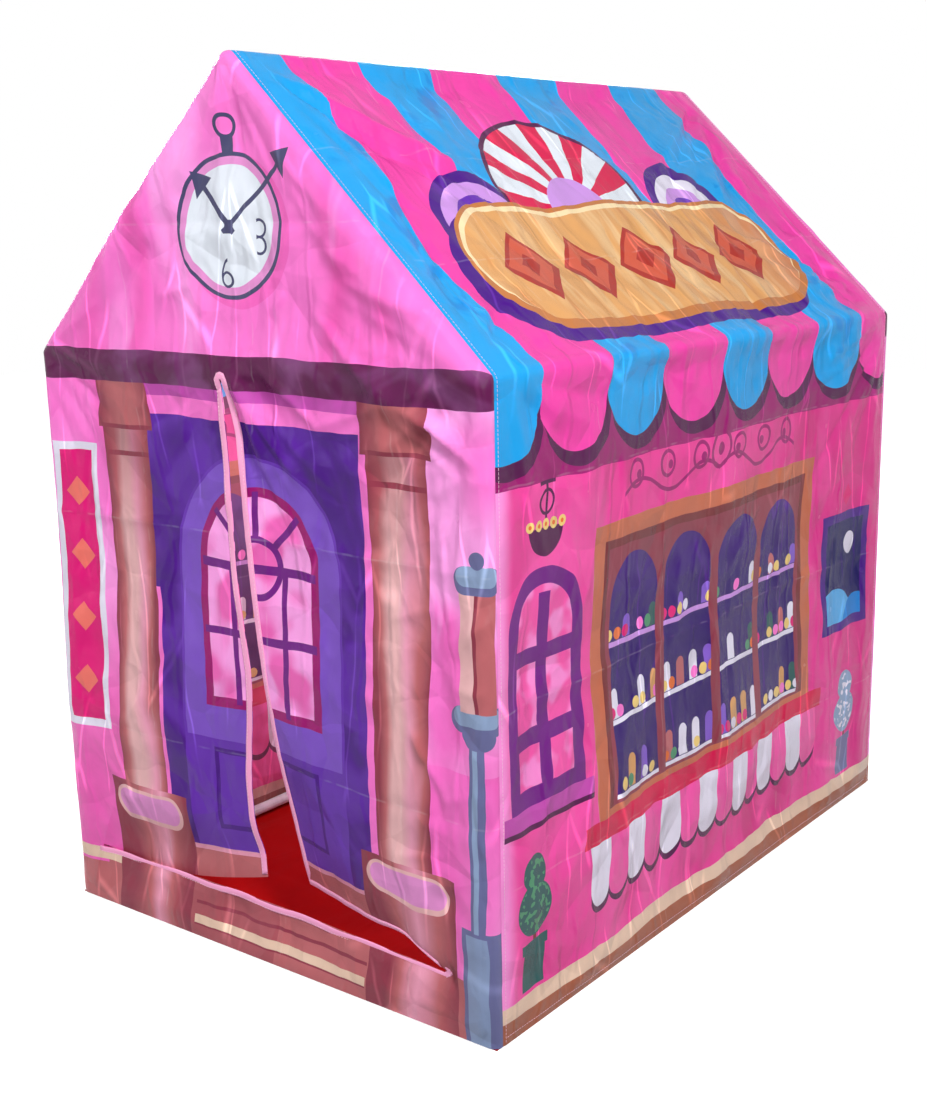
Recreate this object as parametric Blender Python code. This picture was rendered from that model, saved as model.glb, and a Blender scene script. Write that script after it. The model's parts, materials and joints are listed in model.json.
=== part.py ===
"""A child's play tent in the shape of a small house.

A push-together frame of plastic tubes and moulded connectors carries a sewn cloth cover: a front panel with
a two-flap doorway, a back panel, two side walls, two roof slopes and a floor sheet. X runs across the tent,
Y from front to back and Z up, in metres. The origin is on the ground, under the middle of the tent.
"""

import math
from dataclasses import dataclass

import bmesh
import bpy
from mathutils import Matrix, Vector

# The standing tent: its sharp outline, before the cloth rounds the corners
COVER_WIDTH = 0.670
COVER_DEPTH = 0.950
ROOF_PEAK = 1.024
EAVE_HEIGHT = 0.700

# Cloth and the tape that binds its cut edges
CLOTH = 0.0010
TAPE = 0.0006
TAPE_WIDTH = 0.0095

# Frame tubes: one end of each pair is drawn down to a neck that slides into the other tube
TUBE_DIAMETER = 0.0150
TUBE_WALL = 0.0012
NECK_LENGTH = 0.0300

# Moulded connectors: a ball with a socket for each tube
SOCKET_WALL = 0.0018
SOCKET_DEPTH = 0.0300
BALL_SWELL = 0.0006

# Clearances, and how far a cutter runs past what it cuts
GAP = 0.0003
PUSH_FIT = 0.0003
OVERRUN = 0.0010

# Doorway: its peak is below the front cross tube, and its sill is a slit from side to side
PEAK_CLEARANCE = 0.0100
SILL_LEFT_HEIGHT = 0.072
SILL_RIGHT_HEIGHT = 0.066
PEAK_SIDE_SHARE = -0.037
SILL_LEFT_SHARE = -0.433
SILL_RIGHT_SHARE = 0.396

# Fold lines: the cloth on both sides thins towards the line that a flap turns on
FOLD_CLEARANCE = 0.0003
FOLD_TAPER = 0.0025
FOLD_EDGE = 0.0001

# Each flap stops short of the slit's ends, and its tape starts where the flap is wide enough
FLAP_START_SHARE = 0.035
FLAP_REACH_SHARE = 0.980

# How the right flap's loose corner is pushed in: a crease, the slope past it and how softly it bends
PUSH_SLOPE_SHARE = 0.42
CREASE_SOFTNESS = 0.0200

# How the left flap's loose edge hangs behind the panel, and its ripple
HANG_DEPTH = 0.0080
RIPPLE_DEPTH = 0.0045
RIPPLE_COUNT = 1.6
RIPPLE_START = 0.6

# The flaps' loose edges: how far down the doorway, and how far across from the peak
LEFT_EDGE_SHARES = (
    (0.000, 0.000), (0.030, -0.004), (0.195, -0.004), (0.327, -0.002),
    (0.541, 0.018), (0.756, 0.002), (0.959, 0.014),
)
RIGHT_EDGE_SHARES = (
    (0.000, 0.000), (0.096, 0.023), (0.327, 0.036), (0.558, 0.065), (0.723, 0.076), (0.960, 0.101),
)
CREASE_START_SHARES = (0.558, 0.065)
CREASE_END_SHARES = (0.896, 0.315)

# How far each flap's bottom edge is drawn up, from the fold line to the loose corner
LEFT_LIFT_SHARES = ((0.0, 0.000), (0.5, 0.003), (1.0, 0.000))
RIGHT_LIFT_SHARES = ((0.0, 0.000), (0.25, 0.038), (0.45, 0.031), (0.70, 0.018), (1.0, 0.000))
LIFT_POWER = 8

# How finely round and hanging forms are divided
TUBE_SIDES = 12
BALL_RINGS = 8
RIM_STEPS = 4
EAVE_STEPS = 4
RIDGE_STEPS = 4
FLAP_ROWS = 26
FLAP_COLUMNS = 7

# Sizes that follow from the ones above
TUBE_RADIUS = TUBE_DIAMETER / 2
TUBE_BORE = TUBE_RADIUS - TUBE_WALL
NECK_RADIUS = TUBE_BORE - PUSH_FIT
NECK_BORE = NECK_RADIUS - TUBE_WALL
SOCKET_BORE = TUBE_RADIUS + PUSH_FIT
SOCKET_RADIUS = SOCKET_BORE + SOCKET_WALL
BALL_RADIUS = SOCKET_RADIUS + BALL_SWELL
CORNER_RADIUS = BALL_RADIUS + GAP + CLOTH
HEM = CLOTH + GAP
ROOF_ANGLE = math.atan2(ROOF_PEAK - EAVE_HEIGHT, COVER_WIDTH / 2)
WALL_TO_ROOF = math.pi / 2 - ROOF_ANGLE
BAR_X = COVER_WIDTH / 2 - CORNER_RADIUS
BAR_Y = COVER_DEPTH / 2 - CORNER_RADIUS
BASE_Z = HEM + BALL_RADIUS
EAVE_Z = EAVE_HEIGHT + CORNER_RADIUS * (math.tan(ROOF_ANGLE) - 1 / math.cos(ROOF_ANGLE))
RIDGE_Z = ROOF_PEAK - CORNER_RADIUS / math.cos(ROOF_ANGLE)
FRONT_MIDDLE = -COVER_DEPTH / 2 + CLOTH / 2
TAPE_INNER = CLOTH / 2 + GAP
TAPE_OUTER = TAPE_INNER + TAPE

# The doorway's corners, as across and up on the front panel
PEAK = Vector((PEAK_SIDE_SHARE * COVER_WIDTH, EAVE_Z - TUBE_RADIUS - PEAK_CLEARANCE))
SILL_LEFT = Vector((SILL_LEFT_SHARE * COVER_WIDTH, SILL_LEFT_HEIGHT))
SILL_RIGHT = Vector((SILL_RIGHT_SHARE * COVER_WIDTH, SILL_RIGHT_HEIGHT))
DOOR_WIDTH = SILL_RIGHT.x - SILL_LEFT.x
DOOR_HEIGHT = PEAK.y - (SILL_LEFT.y + SILL_RIGHT.y) / 2

SIDES = {"left": -1, "right": 1}
ENDS = {"front": -1, "back": 1}


def make_material(name, colour, roughness):
    """A plain finish of one colour."""
    material = bpy.data.materials.new(name)
    material.use_nodes = True
    shader = material.node_tree.nodes["Principled BSDF"]
    shader.inputs["Base Color"].default_value = (*colour, 1)
    shader.inputs["Roughness"].default_value = roughness
    shader.inputs["Metallic"].default_value = 0
    material.diffuse_color = (*colour, 1)
    return material


def make_object(name, mesh_data, material, smooth=False):
    """Turns a bmesh into a named object with its faces pointing out."""
    bmesh.ops.recalc_face_normals(mesh_data, faces=mesh_data.faces)
    mesh = bpy.data.meshes.new(name)
    mesh_data.to_mesh(mesh)
    mesh_data.free()
    mesh.materials.append(material)
    if smooth:
        mesh.shade_smooth()
        mesh.set_sharp_from_angle(angle=math.radians(40))
    thing = bpy.data.objects.new(name, mesh)
    bpy.context.collection.objects.link(thing)
    return thing


def combine(target, others, operation):
    """Unites the target with others, or cuts them out of it, and removes them."""
    for other in others:
        step = target.modifiers.new(operation.title(), "BOOLEAN")
        step.operation = operation
        step.solver = "EXACT"
        step.object = other
    bpy.context.view_layer.update()
    graph = bpy.context.evaluated_depsgraph_get()
    mesh = bpy.data.meshes.new_from_object(target.evaluated_get(graph))
    mesh.name = target.name
    target.modifiers.clear()
    target.data = mesh
    for other in others:
        bpy.data.objects.remove(other)


def aim(direction):
    """A turn that takes +Z to a direction and keeps the sides of every tube on one line in step."""
    along = direction.normalized()
    across = Vector((0, 1, 0)) if abs(along.y) < 0.5 else Vector((0, 0, 1))
    third = across.cross(along)
    return Matrix((third, across, along)).transposed().to_4x4()


def place(thing, start, direction):
    """Stands an object that was made along +Z at a point, along a direction."""
    thing.matrix_world = Matrix.Translation(start) @ aim(direction)


def turn(mesh_data, profile):
    """Turns a closed profile of (radius, distance) points about the Z axis."""
    ring = [mesh_data.verts.new((radius, 0, distance)) for radius, distance in profile]
    edges = [mesh_data.edges.new(pair) for pair in zip(ring, ring[1:] + ring[:1])]
    bmesh.ops.spin(
        mesh_data, geom=ring + edges, cent=(0, 0, 0), axis=(0, 0, 1),
        angle=2 * math.pi, steps=TUBE_SIDES, use_merge=True,
    )


def sweep(mesh_data, stations):
    """Extrudes a closed section from each station to the next, each station being its section's points."""
    first = [mesh_data.verts.new(point) for point in stations[0]]
    face = mesh_data.faces.new(first)
    for points in stations[1:]:
        face = bmesh.ops.extrude_discrete_faces(mesh_data, faces=[face])["faces"][0]
        for vert, point in zip(face.verts, points):
            vert.co = point
    mesh_data.faces.new(first)
    bmesh.ops.remove_doubles(mesh_data, verts=mesh_data.verts, dist=GAP / 100)


# Frame


@dataclass
class Bar:
    """One run of tube between two connectors, in two pieces where halves are named."""

    name: str
    start: tuple
    end: tuple
    halves: tuple = ()


def corner_place(level, end, side=None):
    """Where the tubes' axes meet at a corner of the frame."""
    height = {"base": BASE_Z, "eave": EAVE_Z, "ridge": RIDGE_Z}[level]
    across = 0 if side is None else SIDES[side] * BAR_X
    return Vector((across, ENDS[end] * BAR_Y, height))


def frame_bars():
    """Every run of tube in the frame."""
    bars = []
    for level in ("base", "eave"):
        for end in ENDS:
            bars.append(Bar(f"{level}_tube_{end}", (level, end, "left"), (level, end, "right"), tuple(SIDES)))
        for side in SIDES:
            bars.append(Bar(f"{level}_tube_{side}", (level, "front", side), (level, "back", side), tuple(ENDS)))
    for end in ENDS:
        for side in SIDES:
            bars.append(Bar(f"post_{end}_{side}", ("base", end, side), ("eave", end, side), ("lower", "upper")))
            bars.append(Bar(f"rafter_{end}_{side}", ("eave", end, side), ("ridge", end)))
    bars.append(Bar("ridge_tube", ("ridge", "front"), ("ridge", "back"), tuple(ENDS)))
    return bars


def connector_arms(bars):
    """The directions in which each connector holds its tubes."""
    arms = {}
    for bar in bars:
        along = (corner_place(*bar.end) - corner_place(*bar.start)).normalized()
        arms.setdefault(bar.start, []).append(along)
        arms.setdefault(bar.end, []).append(-along)
    return arms


def solid_core(directions):
    """How far out a connector's sockets start, so that the two closest bores keep a wall between them."""
    closest = min(a.angle(b) for i, a in enumerate(directions) for b in directions[:i])
    return (SOCKET_BORE + SOCKET_WALL / 2) / math.tan(closest / 2)


def make_tube(name, start, end, material):
    """One plain length of tube."""
    mesh_data = bmesh.new()
    length = (end - start).length
    turn(mesh_data, [(TUBE_BORE, 0), (TUBE_RADIUS, 0), (TUBE_RADIUS, length), (TUBE_BORE, length)])
    place(make_object(name, mesh_data, material, smooth=True), start, end - start)


def make_necked_tube(name, start, shoulder, material):
    """One length of tube with a neck past its shoulder that slides into the next length."""
    mesh_data = bmesh.new()
    length = (shoulder - start).length
    tip = length + NECK_LENGTH
    profile = [
        (TUBE_BORE, 0), (TUBE_RADIUS, 0), (TUBE_RADIUS, length), (NECK_RADIUS, length),
        (NECK_RADIUS, tip), (NECK_BORE, tip), (NECK_BORE, length - TUBE_WALL), (TUBE_BORE, length - 2 * TUBE_WALL),
    ]
    turn(mesh_data, profile)
    place(make_object(name, mesh_data, material, smooth=True), start, shoulder - start)


def make_bar(bar, arms, material):
    """The tube or pair of tubes of one run, seated in its two connectors."""
    start, end = corner_place(*bar.start), corner_place(*bar.end)
    along = (end - start).normalized()
    start += along * (solid_core(arms[bar.start]) + GAP)
    end -= along * (solid_core(arms[bar.end]) + GAP)
    if not bar.halves:
        make_tube(bar.name, start, end, material)
        return
    middle = (start + end) / 2
    make_necked_tube(f"{bar.name}_{bar.halves[0]}", start, middle, material)
    make_tube(f"{bar.name}_{bar.halves[1]}", end, middle + along * GAP, material)


def make_rod(name, radius, start, length, direction, material):
    """A plain round rod, used to shape and bore the connectors."""
    mesh_data = bmesh.new()
    lift = Matrix.Translation((0, 0, length / 2))
    bmesh.ops.create_cone(
        mesh_data, cap_ends=True, segments=TUBE_SIDES, radius1=radius, radius2=radius, depth=length, matrix=lift
    )
    rod = make_object(name, mesh_data, material)
    place(rod, start, direction)
    return rod


def make_connector(corner, directions, material):
    """A moulded ball with one open socket for each tube."""
    core = solid_core(directions)
    centre = corner_place(*corner)
    mesh_data = bmesh.new()
    bmesh.ops.create_uvsphere(mesh_data, u_segments=TUBE_SIDES, v_segments=BALL_RINGS, radius=BALL_RADIUS)
    name = "_".join([corner[0], "connector", *corner[1:]])
    ball = make_object(name, mesh_data, material)
    ball.location = centre
    arms = [make_rod("arm", SOCKET_RADIUS, centre, core + SOCKET_DEPTH, way, material) for way in directions]
    combine(ball, arms, "UNION")
    bores = [
        make_rod("bore", SOCKET_BORE, centre + way * core, SOCKET_DEPTH + OVERRUN, way, material)
        for way in directions
    ]
    combine(ball, bores, "DIFFERENCE")
    ball.data.shade_smooth()
    ball.data.set_sharp_from_angle(angle=math.radians(40))


# Cover


def arc(centre, radius, start, end, steps):
    """Points along an arc, from one angle to another."""
    angles = [start + (end - start) * step / steps for step in range(steps + 1)]
    return [Vector((centre[0] + radius * math.cos(a), centre[1] + radius * math.sin(a))) for a in angles]


def right_half_line(radius, first, last):
    """The line that the cover follows at a distance from the tubes' axes, round the right eave to the ridge."""
    eave = arc((BAR_X, EAVE_Z), radius, first, WALL_TO_ROOF, EAVE_STEPS)
    ridge = arc((0, RIDGE_Z), radius, WALL_TO_ROOF, last, RIDGE_STEPS)
    return eave + ridge


def whole_line(radius, foot):
    """The closed line round a gable end at a distance from the tubes' axes, with its lower side at the foot."""
    right = [Vector((BAR_X + radius, foot - radius))] + right_half_line(radius, 0, math.pi / 2)
    left = [Vector((-point.x, point.y)) for point in right]
    return right + left[-2::-1]


def upright(points, depth):
    """Points given as across and up, stood in the plane at a depth."""
    return [Vector((point.x, depth, point.y)) for point in points]


def make_extruded(name, outline, depth, material):
    """A solid extruded from a closed outline of 3-D points by a vector."""
    mesh_data = bmesh.new()
    sweep(mesh_data, [outline, [point + depth for point in outline]])
    return make_object(name, mesh_data, material)


def make_roof_slope(name, side, material):
    """One slope of the roof, which wraps the eave tube and half of the ridge tube."""
    section = []
    for radius in (CORNER_RADIUS, CORNER_RADIUS - CLOTH):
        tight = math.asin(GAP / 2 / radius)
        line = right_half_line(radius, tight, math.pi / 2 - tight)
        section += line if radius == CORNER_RADIUS else line[::-1]
    front = -BAR_Y + GAP
    outline = upright([Vector((side * point.x, point.y)) for point in section], front)
    make_extruded(name, outline, Vector((0, -2 * front, 0)), material)


def make_side_wall(name, side, material):
    """One side wall, from its hem to the eave."""
    outer, inner = side * COVER_WIDTH / 2, side * (COVER_WIDTH / 2 - CLOTH)
    front, top = -BAR_Y + GAP, EAVE_Z - GAP / 2
    corners = [Vector(corner) for corner in ((outer, HEM), (outer, top), (inner, top), (inner, HEM))]
    make_extruded(name, upright(corners, front), Vector((0, -2 * front, 0)), material)


def make_floor(material):
    """The floor sheet, which the whole tent stands on."""
    outline = []
    for quarter, (x, y) in enumerate(((1, 1), (-1, 1), (-1, -1), (1, -1))):
        start = quarter * math.pi / 2
        outline += arc((x * BAR_X, y * BAR_Y), CORNER_RADIUS, start, start + math.pi / 2, RIM_STEPS)
    make_extruded("floor_sheet", [point.to_3d() for point in outline], Vector((0, 0, CLOTH)), material)


def make_end_panel(name, end, material):
    """A gable end with a rim that wraps its posts and rafters, cut off at its hem."""
    turns = [math.pi / 2 * step / RIM_STEPS for step in range(RIM_STEPS + 1)]
    foot = HEM - CORNER_RADIUS
    stations = []
    for radius, angles in ((CORNER_RADIUS, turns), (CORNER_RADIUS - CLOTH, turns[::-1])):
        for angle in angles:
            line = whole_line(radius * math.sin(angle), foot)
            stations.append(upright(line, end * (BAR_Y + radius * math.cos(angle))))
    mesh_data = bmesh.new()
    sweep(mesh_data, stations)
    everything = mesh_data.verts[:] + mesh_data.edges[:] + mesh_data.faces[:]
    bmesh.ops.bisect_plane(
        mesh_data, geom=everything, plane_co=(0, 0, HEM), plane_no=(0, 0, -1), clear_outer=True, dist=GAP / 100
    )
    open_edges = [edge for edge in mesh_data.edges if edge.is_boundary]
    bmesh.ops.contextual_create(mesh_data, geom=open_edges)
    return make_object(name, mesh_data, material)


# Doorway


def doorway_outline(side_clearance, sill_clearance):
    """The doorway's three corners, with its fold lines and its sill moved out by a clearance."""
    corners = [PEAK, SILL_LEFT, SILL_RIGHT]
    middle = sum(corners, Vector((0, 0))) / len(corners)
    lines = []
    for index, clearance in enumerate((side_clearance, sill_clearance, side_clearance)):
        start, along = corners[index], corners[(index + 1) % 3] - corners[index]
        out = Vector((along.y, -along.x)).normalized()
        out *= math.copysign(clearance, out.dot(start - middle))
        lines.append((start + out, along))
    moved = []
    for (point, along), (next_point, next_along) in zip(lines[-1:] + lines, lines):
        reach = (next_point - point).cross(next_along) / along.cross(next_along)
        moved.append(point + along * reach)
    return moved


def cut_doorway(panel, material):
    """Cuts the doorway, whose sides thin the cloth towards the lines that the flaps turn on."""
    wide, narrow = FOLD_CLEARANCE + 2 * FOLD_TAPER, FOLD_CLEARANCE
    sill = TAPE + GAP
    stations = [
        upright(doorway_outline(clearance, sill), FRONT_MIDDLE + depth)
        for clearance, depth in ((wide, -CLOTH), (narrow, 0), (wide, CLOTH))
    ]
    mesh_data = bmesh.new()
    sweep(mesh_data, stations)
    combine(panel, [make_object("doorway", mesh_data, material)], "DIFFERENCE")


def smooth_value(shares, place_share):
    """Reads a table of (place, value) shares as a smooth curve."""
    last = len(shares) - 1
    index = max(k for k in range(last) if k == 0 or shares[k][0] <= place_share)
    around = [Vector(shares[min(max(k, 0), last)]) for k in range(index - 1, index + 3)]
    start, end = around[1], around[2]
    slopes = []
    for before, after in ((around[0], around[2]), (around[1], around[3])):
        slopes.append((after.y - before.y) / (after.x - before.x) * (end.x - start.x))
    t = (place_share - start.x) / (end.x - start.x)
    rise = t * t * (3 - 2 * t)
    return start.y + (end.y - start.y) * rise + slopes[0] * t * (1 - t) ** 2 - slopes[1] * t * t * (1 - t)


def doorway_place(drop_share, side_share):
    """A place in the doorway, as shares of its height down and its width across from the peak."""
    return Vector((PEAK.x + side_share * DOOR_WIDTH, PEAK.y - drop_share * DOOR_HEIGHT))


def left_depth(place, across, down):
    """How far the left flap hangs behind the panel: more at its loose edge, with a ripple down it."""
    ripple = math.sin(2 * math.pi * RIPPLE_COUNT * down + RIPPLE_START)
    return across * across * down * (HANG_DEPTH + RIPPLE_DEPTH * (1 + ripple))


def right_depth(place, across, down):
    """How far the right flap is pushed in: its loose corner, past a soft crease."""
    start, end = doorway_place(*CREASE_START_SHARES), doorway_place(*CREASE_END_SHARES)
    along = (end - start).normalized()
    past = along.cross(start - place)
    soft = (past + math.hypot(past, CREASE_SOFTNESS)) / 2
    return min(1, 4 * across) * PUSH_SLOPE_SHARE * soft + CLOTH * across


@dataclass
class Flap:
    """One of the doorway's two flaps: where it folds, its loose edge, its lifted bottom and its depth."""

    side: str
    foot: Vector
    edge_shares: tuple
    lift_shares: tuple
    depth: object

    def row(self, down):
        """The ends of a row across the flap: on the fold line and on the loose edge."""
        fold = PEAK.lerp(self.foot, down * FLAP_REACH_SHARE)
        drop = down * self.edge_shares[-1][0]
        return fold, doorway_place(drop, smooth_value(self.edge_shares, drop))

    def width(self, down):
        """The flap's width along a row."""
        fold, loose = self.row(down)
        return (loose - fold).length

    def edge_length(self):
        """The straight length of the loose edge."""
        return (self.row(1)[1] - PEAK).length

    def surface(self, down, along, offset=0):
        """A point at a distance along a row from the fold line, and off the cloth's middle."""
        fold, loose = self.row(down)
        across = along / self.width(down)
        place = fold.lerp(loose, across)
        place.y += smooth_value(self.lift_shares, across) * DOOR_HEIGHT * down**LIFT_POWER
        return Vector((place.x, FRONT_MIDDLE + self.depth(place, across, down) + offset, place.y))

    def columns(self, down):
        """Distances from the fold line: the thin edge, full cloth, the body, the tape's edge, the cloth's edge."""
        fold = (PEAK - self.foot).normalized()
        across = self.row(down)[1] - self.row(down)[0]
        skew = abs(fold.cross(across.normalized()))
        width = self.width(down)
        thick = min((FOLD_CLEARANCE + FOLD_TAPER) / skew, width / 4)
        taped = max(width - TAPE_WIDTH, width / 2)
        body = [thick + (taped - thick) * step / FLAP_COLUMNS for step in range(FLAP_COLUMNS + 1)]
        return [FOLD_CLEARANCE / skew, *body, width - TAPE - GAP]

    def rows(self):
        """Shares down the flap: even rows, then the tape's edge and the cloth's edge."""
        length = self.edge_length()
        last = 1 - TAPE_WIDTH / length
        step = (last - FLAP_START_SHARE) / FLAP_ROWS
        return [FLAP_START_SHARE + step * row for row in range(FLAP_ROWS + 1)] + [1 - (TAPE + GAP) / length]


def make_flap_cloth(flap, material):
    """The cloth of a flap: a sheet with its main fold, thin along its fold line."""
    rows, column_count = flap.rows(), FLAP_COLUMNS + 3
    mesh_data = bmesh.new()
    bmesh.ops.create_grid(mesh_data, x_segments=column_count - 1, y_segments=len(rows) - 1, size=1)
    places = {}
    for vert in mesh_data.verts:
        column = round((vert.co.x + 1) / 2 * (column_count - 1))
        row = round((vert.co.y + 1) / 2 * (len(rows) - 1))
        half = (FOLD_EDGE if column == 0 else CLOTH) / 2
        down = rows[row]
        along = flap.columns(down)[column]
        places[vert] = (down, along, half)
        vert.co = flap.surface(down, along, -half)
    fronts = {vert.co.to_tuple(): place for vert, place in places.items()}
    grown = bmesh.ops.extrude_face_region(mesh_data, geom=mesh_data.faces[:] + mesh_data.edges[:])["geom"]
    for vert in (item for item in grown if isinstance(item, bmesh.types.BMVert)):
        vert.co = flap.surface(*fronts[vert.co.to_tuple()])
    make_object(f"door_flap_{flap.side}", mesh_data, material, smooth=True)


def tape_section(outer, web, inner):
    """The folded tape's section, from the middles of its fold, its inside and its two edges."""
    places = (
        (outer, -TAPE_OUTER), (inner, -TAPE_OUTER), (inner, -TAPE_INNER), (web, -TAPE_INNER),
        (web, TAPE_INNER), (inner, TAPE_INNER), (inner, TAPE_OUTER), (outer, TAPE_OUTER),
    )
    return [place + Vector((0, offset, 0)) for place, offset in places]


def make_flap_tape(flap, material):
    """The tape folded over a flap's loose edge, round its corner and along its bottom."""
    length = flap.edge_length()
    rows = flap.rows()
    down_side = [row for row in rows[:-1] if flap.width(row) > 2 * TAPE_WIDTH]
    stations = []
    for row in down_side:
        width = flap.width(row)
        stations.append([flap.surface(row, width - inset) for inset in (0, TAPE, TAPE_WIDTH)])
    corner = ((1, 0), (1 - TAPE / length, TAPE), (rows[-2], TAPE_WIDTH))
    stations.append([flap.surface(down, flap.width(down) - inset) for down, inset in corner])
    for column in range(FLAP_COLUMNS + 1, 1, -1):
        downs = (1, 1 - TAPE / length, rows[-2])
        stations.append([flap.surface(down, flap.columns(down)[column]) for down in downs])
    mesh_data = bmesh.new()
    sweep(mesh_data, [tape_section(*station) for station in stations])
    make_object(f"flap_tape_{flap.side}", mesh_data, material)


def make_sill_tape(material):
    """The tape folded over the sill's cut edge."""
    along = (SILL_RIGHT - SILL_LEFT).normalized()
    down = Vector((along.y, -along.x))
    stations = []
    for end in (SILL_LEFT + along * TAPE_WIDTH, SILL_RIGHT - along * TAPE_WIDTH):
        station = upright([end + down * inset for inset in (0, TAPE, TAPE_WIDTH)], FRONT_MIDDLE)
        stations.append(tape_section(*station))
    mesh_data = bmesh.new()
    sweep(mesh_data, stations)
    make_object("sill_tape", mesh_data, material)


def main():
    """Builds the frame, then the cover round it, then the doorway's flaps."""
    for thing in list(bpy.data.objects):
        bpy.data.objects.remove(thing)
    tube_plastic = make_material("tube_plastic", (0.80, 0.80, 0.82), 0.35)
    connector_plastic = make_material("connector_plastic", (0.10, 0.24, 0.55), 0.40)
    end_cloth = make_material("end_cloth", (0.86, 0.16, 0.46), 0.45)
    wall_cloth = make_material("wall_cloth", (0.75, 0.08, 0.30), 0.45)
    roof_cloth = make_material("roof_cloth", (0.08, 0.40, 0.75), 0.45)
    flap_cloth = make_material("flap_cloth", (0.16, 0.05, 0.36), 0.45)
    floor_cloth = make_material("floor_cloth", (0.30, 0.00, 0.01), 0.55)
    tape_cloth = make_material("tape_cloth", (0.95, 0.45, 0.65), 0.55)

    bars = frame_bars()
    arms = connector_arms(bars)
    for bar in bars:
        make_bar(bar, arms, tube_plastic)
    for corner, directions in arms.items():
        make_connector(corner, directions, connector_plastic)

    make_floor(floor_cloth)
    for side, sign in SIDES.items():
        make_side_wall(f"side_wall_{side}", sign, wall_cloth)
        make_roof_slope(f"roof_slope_{side}", sign, roof_cloth)
    make_end_panel("back_panel", ENDS["back"], end_cloth)
    cut_doorway(make_end_panel("front_panel", ENDS["front"], end_cloth), end_cloth)

    flaps = (
        Flap("left", SILL_LEFT, LEFT_EDGE_SHARES, LEFT_LIFT_SHARES, left_depth),
        Flap("right", SILL_RIGHT, RIGHT_EDGE_SHARES, RIGHT_LIFT_SHARES, right_depth),
    )
    for flap in flaps:
        make_flap_cloth(flap, flap_cloth)
        make_flap_tape(flap, tape_cloth)
    make_sill_tape(tape_cloth)


main()
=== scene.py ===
"""A child's play tent, dressed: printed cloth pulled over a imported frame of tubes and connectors.

Each cloth piece is laid out flat in metres and then carried onto the tent, so that its print, folds and
weave follow the cloth. X runs across the tent, Y from the doorway to the back and Z up, in metres.
"""

import json
import logging
import math
import random
from dataclasses import dataclass, field
from enum import Enum
from typing import Callable, Sequence

import bmesh
import bpy
import numpy as np
from mathutils import Matrix, Vector
from mathutils.geometry import intersect_point_tri_2d


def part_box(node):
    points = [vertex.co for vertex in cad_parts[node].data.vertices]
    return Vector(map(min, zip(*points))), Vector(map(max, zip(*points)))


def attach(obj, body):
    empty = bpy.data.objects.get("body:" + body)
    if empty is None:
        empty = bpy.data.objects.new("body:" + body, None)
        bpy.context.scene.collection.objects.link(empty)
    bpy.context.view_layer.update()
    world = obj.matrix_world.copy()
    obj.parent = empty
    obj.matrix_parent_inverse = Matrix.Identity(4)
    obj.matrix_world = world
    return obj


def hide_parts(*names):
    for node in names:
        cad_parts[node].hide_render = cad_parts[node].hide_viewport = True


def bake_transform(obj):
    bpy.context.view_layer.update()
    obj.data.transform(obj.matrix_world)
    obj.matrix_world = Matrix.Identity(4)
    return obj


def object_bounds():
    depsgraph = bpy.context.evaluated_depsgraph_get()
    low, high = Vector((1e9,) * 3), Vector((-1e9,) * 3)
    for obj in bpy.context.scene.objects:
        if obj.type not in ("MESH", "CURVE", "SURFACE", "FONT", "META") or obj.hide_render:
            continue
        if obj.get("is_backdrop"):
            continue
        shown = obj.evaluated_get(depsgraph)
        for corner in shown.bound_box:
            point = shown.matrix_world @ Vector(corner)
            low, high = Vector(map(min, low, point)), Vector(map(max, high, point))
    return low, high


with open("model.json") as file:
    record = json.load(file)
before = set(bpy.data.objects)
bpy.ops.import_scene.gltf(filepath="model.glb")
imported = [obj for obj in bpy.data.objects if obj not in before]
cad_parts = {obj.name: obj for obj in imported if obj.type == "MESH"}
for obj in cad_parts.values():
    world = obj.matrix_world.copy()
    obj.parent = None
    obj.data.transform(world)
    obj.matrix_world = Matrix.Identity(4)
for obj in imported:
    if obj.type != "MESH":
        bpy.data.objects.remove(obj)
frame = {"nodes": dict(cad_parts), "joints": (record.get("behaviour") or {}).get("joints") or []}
cad_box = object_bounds()

log = logging.getLogger("play_tent")
FLAT = "flat"
DULLING = "dulling"
CLOTH_THICKNESS = 0.0007
GROOVE_DEPTH = 0.0008
GROOVE_WIDTH = 0.0025
SEAM_INSET = 0.0042
BEAM = (0.668, 0.706)
CASES_START = -0.254
SKIRTING_TOP = 0.025
MOULDING_TOP = 0.042
TENT_MIDDLE = Vector((0, 0, 0.5))

Node = bpy.types.Node
Socket = bpy.types.NodeSocket
Material = bpy.types.Material
Piece = bpy.types.Object
Mesh = bmesh.types.BMesh
Number = float | Socket
Shape = Callable[[float, float], Vector]
Area = tuple[float, float, float, float]
Span = tuple[float, float]
Path = list[tuple[Vector, Vector]]
Stations = list[tuple[Vector, Vector, Vector]]


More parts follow.
